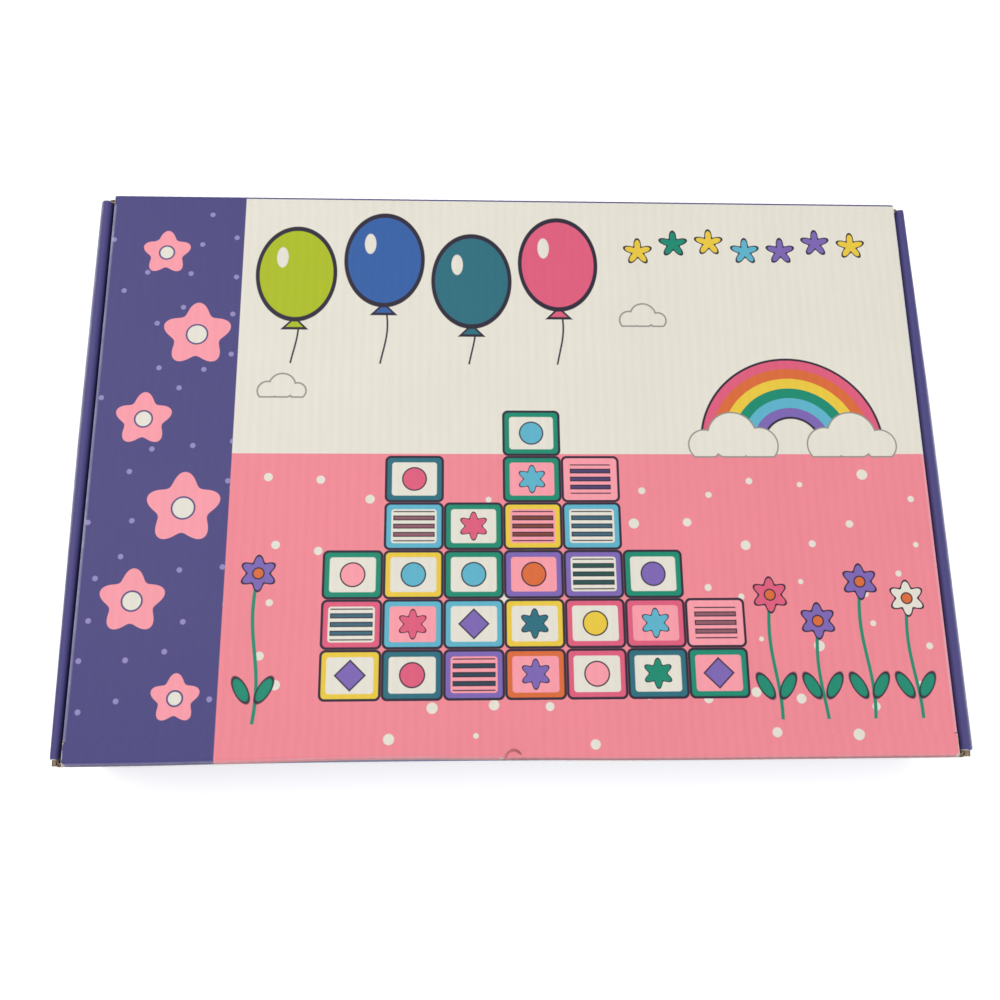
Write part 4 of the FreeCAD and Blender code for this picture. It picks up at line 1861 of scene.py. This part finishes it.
@dataclass(frozen=True)
class TrayPrint(PrintedBoard):
    """Printed face of the tray, in millimetres."""

    bleed: float = 16.0

    def build(self, sizes: CartonSizes) -> bpy.types.Material:
        """Make the material: plain colour that ends in a bleed under the bottom and inside."""
        finish = Finish("tray_print")
        x, y, z = finish.place()
        side = sizes.outer_face / MM
        back = sizes.back / MM
        rim_top = sizes.rim_top / MM
        half = (side - self.bleed, back - self.bleed)
        art = Picture(finish, self.inks.purple)
        art.paint(art.panel(x, y, half, 2.0).most(z - 1.0), self.inks.white)
        panel = abs(abs(x) - sizes.inner_face / MM) - 0.5
        inner = panel.most(z - rim_top + self.bleed).most(abs(y) - half[1] - 8.0)
        art.paint(inner.most(1.5 - z), self.inks.white)
        # Painted highlight, with rubbed wear, along the outer side of the rims.
        outer = (abs(x) - side + 3.2).rise(0.0, 1.6)
        ends = finish.length(abs(x) - side, abs(y) - back + 4.0)
        return self.surface(finish, art.colour, outer, ends + (rim_top - z).most(0.0))


@dataclass(frozen=True)
class Kraft:
    """Brown unprinted paper of the board."""

    name: str
    light: Colour
    dark: Colour
    board: Board
    washboard_shade: float = 0.0

    def build(self) -> bpy.types.Material:
        """Make the material with fibres, specks and painted shade lines along the waves."""
        finish = Finish(self.name)
        fibres = finish.noise(1.1, 5.0, (1, 5, 1))
        cloudy = finish.noise(34.0, 4.0)
        specks = finish.noise(1.6, 2.0).rise(0.70, 0.76)
        colour = finish.mix(fibres * 0.55 + cloudy * 0.6 - 0.1, self.dark, self.light)
        colour = finish.mix(specks * 0.5, colour, self.dark)
        # Painted shade lines of the washboard ripples.
        colour = finish.scaled(colour, finish.waves(self.board) * self.washboard_shade + 1.0)
        return finish.dress(colour, fibres * 0.15 + 0.78, fibres + specks * 0.3, 0.05, 0.25)


@dataclass(frozen=True)
class StudioFloor:
    """Pale floor that reads as white away from the carton."""

    glow: float = 0.46
    haze: float = 0.4
    haze_reach: tuple[float, float] = (700.0, 3000.0)

    def build(self) -> bpy.types.Material:
        """Make the material. Its glow rises with the distance and lights no piece."""
        finish = Finish("studio_floor")
        cloudy = finish.noise(400.0, 2.0)
        colour = finish.mix(cloudy, ink(240, 240, 240), ink(244, 244, 244))
        rays = finish.add("ShaderNodeLightPath").outputs
        camera, glossy, through = (
            Term(finish, rays[f"Is {kind} Ray"]) for kind in ("Camera", "Glossy", "Transmission")
        )
        seen = camera.most(glossy).most(through)
        x, y, _ = finish.place()
        far = finish.length(x, y).rise(*self.haze_reach) * self.haze
        finish.join((1.0, 1.0, 1.0), finish.shader["Emission Color"])
        finish.join(seen * (far + self.glow), finish.shader["Emission Strength"])
        return finish.dress(colour, cloudy * 0.1 + 0.8, cloudy, 0.01)


@dataclass(frozen=True)
class Lamp:
    """Soft lamp that faces the carton."""

    power: float
    size: float
    place: tuple[float, float, float]

    def build(self) -> None:
        """Set up the lamp."""
        data = bpy.data.lights.new("lamp", "AREA")
        data.energy = self.power
        data.size = self.size
        lamp = placed("lamp", data)
        lamp.location = self.place
        lamp.rotation_euler = (-Vector(self.place)).to_track_quat("-Z", "Y").to_euler()


@dataclass(frozen=True)
class Studio:
    """Floor, lamps, sky and camera."""

    floor_size: float = 8.0
    lens: float = 30.634
    sensor: float = 36.0
    rise: float = 0.057
    eye: tuple[float, float, float] = (-0.0266, -0.1650, 0.5548)
    turn: tuple[float, float, float] = (12.296, -1.935, -0.578)
    sky: float = 0.54
    lamps: tuple[Lamp, ...] = (
        Lamp(18.0, 1.6, (-0.9, 0.5, 1.9)),
        Lamp(8.5, 1.4, (1.4, -0.6, 1.6)),
    )

    def camera(self) -> None:
        """Camera at the photograph's place."""
        data = bpy.data.cameras.new("camera")
        data.lens = self.lens
        data.sensor_width = self.sensor
        data.sensor_fit = "HORIZONTAL"
        data.shift_y = self.rise
        camera = placed("camera", data)
        camera.location = self.eye
        camera.rotation_euler = Euler([math.radians(angle) for angle in self.turn], "XYZ")
        bpy.context.scene.camera = camera

    def floor(self) -> None:
        """Pale floor under the carton."""
        half = self.floor_size / 2
        corners = [(-half, -half, 0), (half, -half, 0), (half, half, 0), (-half, half, 0)]
        mesh = bpy.data.meshes.new("floor")
        mesh.from_pydata(corners, [], [(0, 1, 2, 3)])
        mesh.materials.append(StudioFloor().build())
        floor = placed("floor", mesh)

    def backdrop(self) -> None:
        """Even sky that the camera sees as white."""
        world = bpy.data.worlds.new("sky")
        bpy.context.scene.world = world
        world.use_nodes = True
        nodes = Nodes(world.node_tree)
        background = nodes.tree.nodes["Background"].inputs
        seen = nodes.term("ShaderNodeLightPath", "Is Camera Ray")
        nodes.join((1.0, 1.0, 1.0), background["Color"])
        nodes.join(seen * (1.0 - self.sky) + self.sky, background["Strength"])

    def build(self) -> None:
        """Set up the studio."""
        self.camera()
        self.floor()
        for lamp in self.lamps:
            lamp.build()
        self.backdrop()
        bpy.context.scene.view_settings.view_transform = "Standard"


def main() -> None:
    """Build the carton and its studio."""
    sizes = CartonSizes.from_frame()
    board = sizes.board
    inside = Kraft("kraft_inside", ink(190, 168, 138), ink(158, 134, 104), board, 0.03).build()
    cut = Kraft("kraft_cut", ink(226, 216, 198), ink(192, 176, 150), board).build()
    wave = Kraft("kraft_wave", ink(212, 196, 170), ink(178, 160, 132), board).build()
    lid_print = LidPrint(board).build(sizes)
    tray_print = TrayPrint(board).build(sizes)
    pieces = Pieces(Fluting(board, wave), (inside, cut))
    Studio().build()
    Tray(sizes, tray_print).build(pieces)
    Lid(sizes, lid_print).build(pieces)
    HingeCrease(sizes, lid_print).build(pieces)


if __name__ == "__main__":
    main()
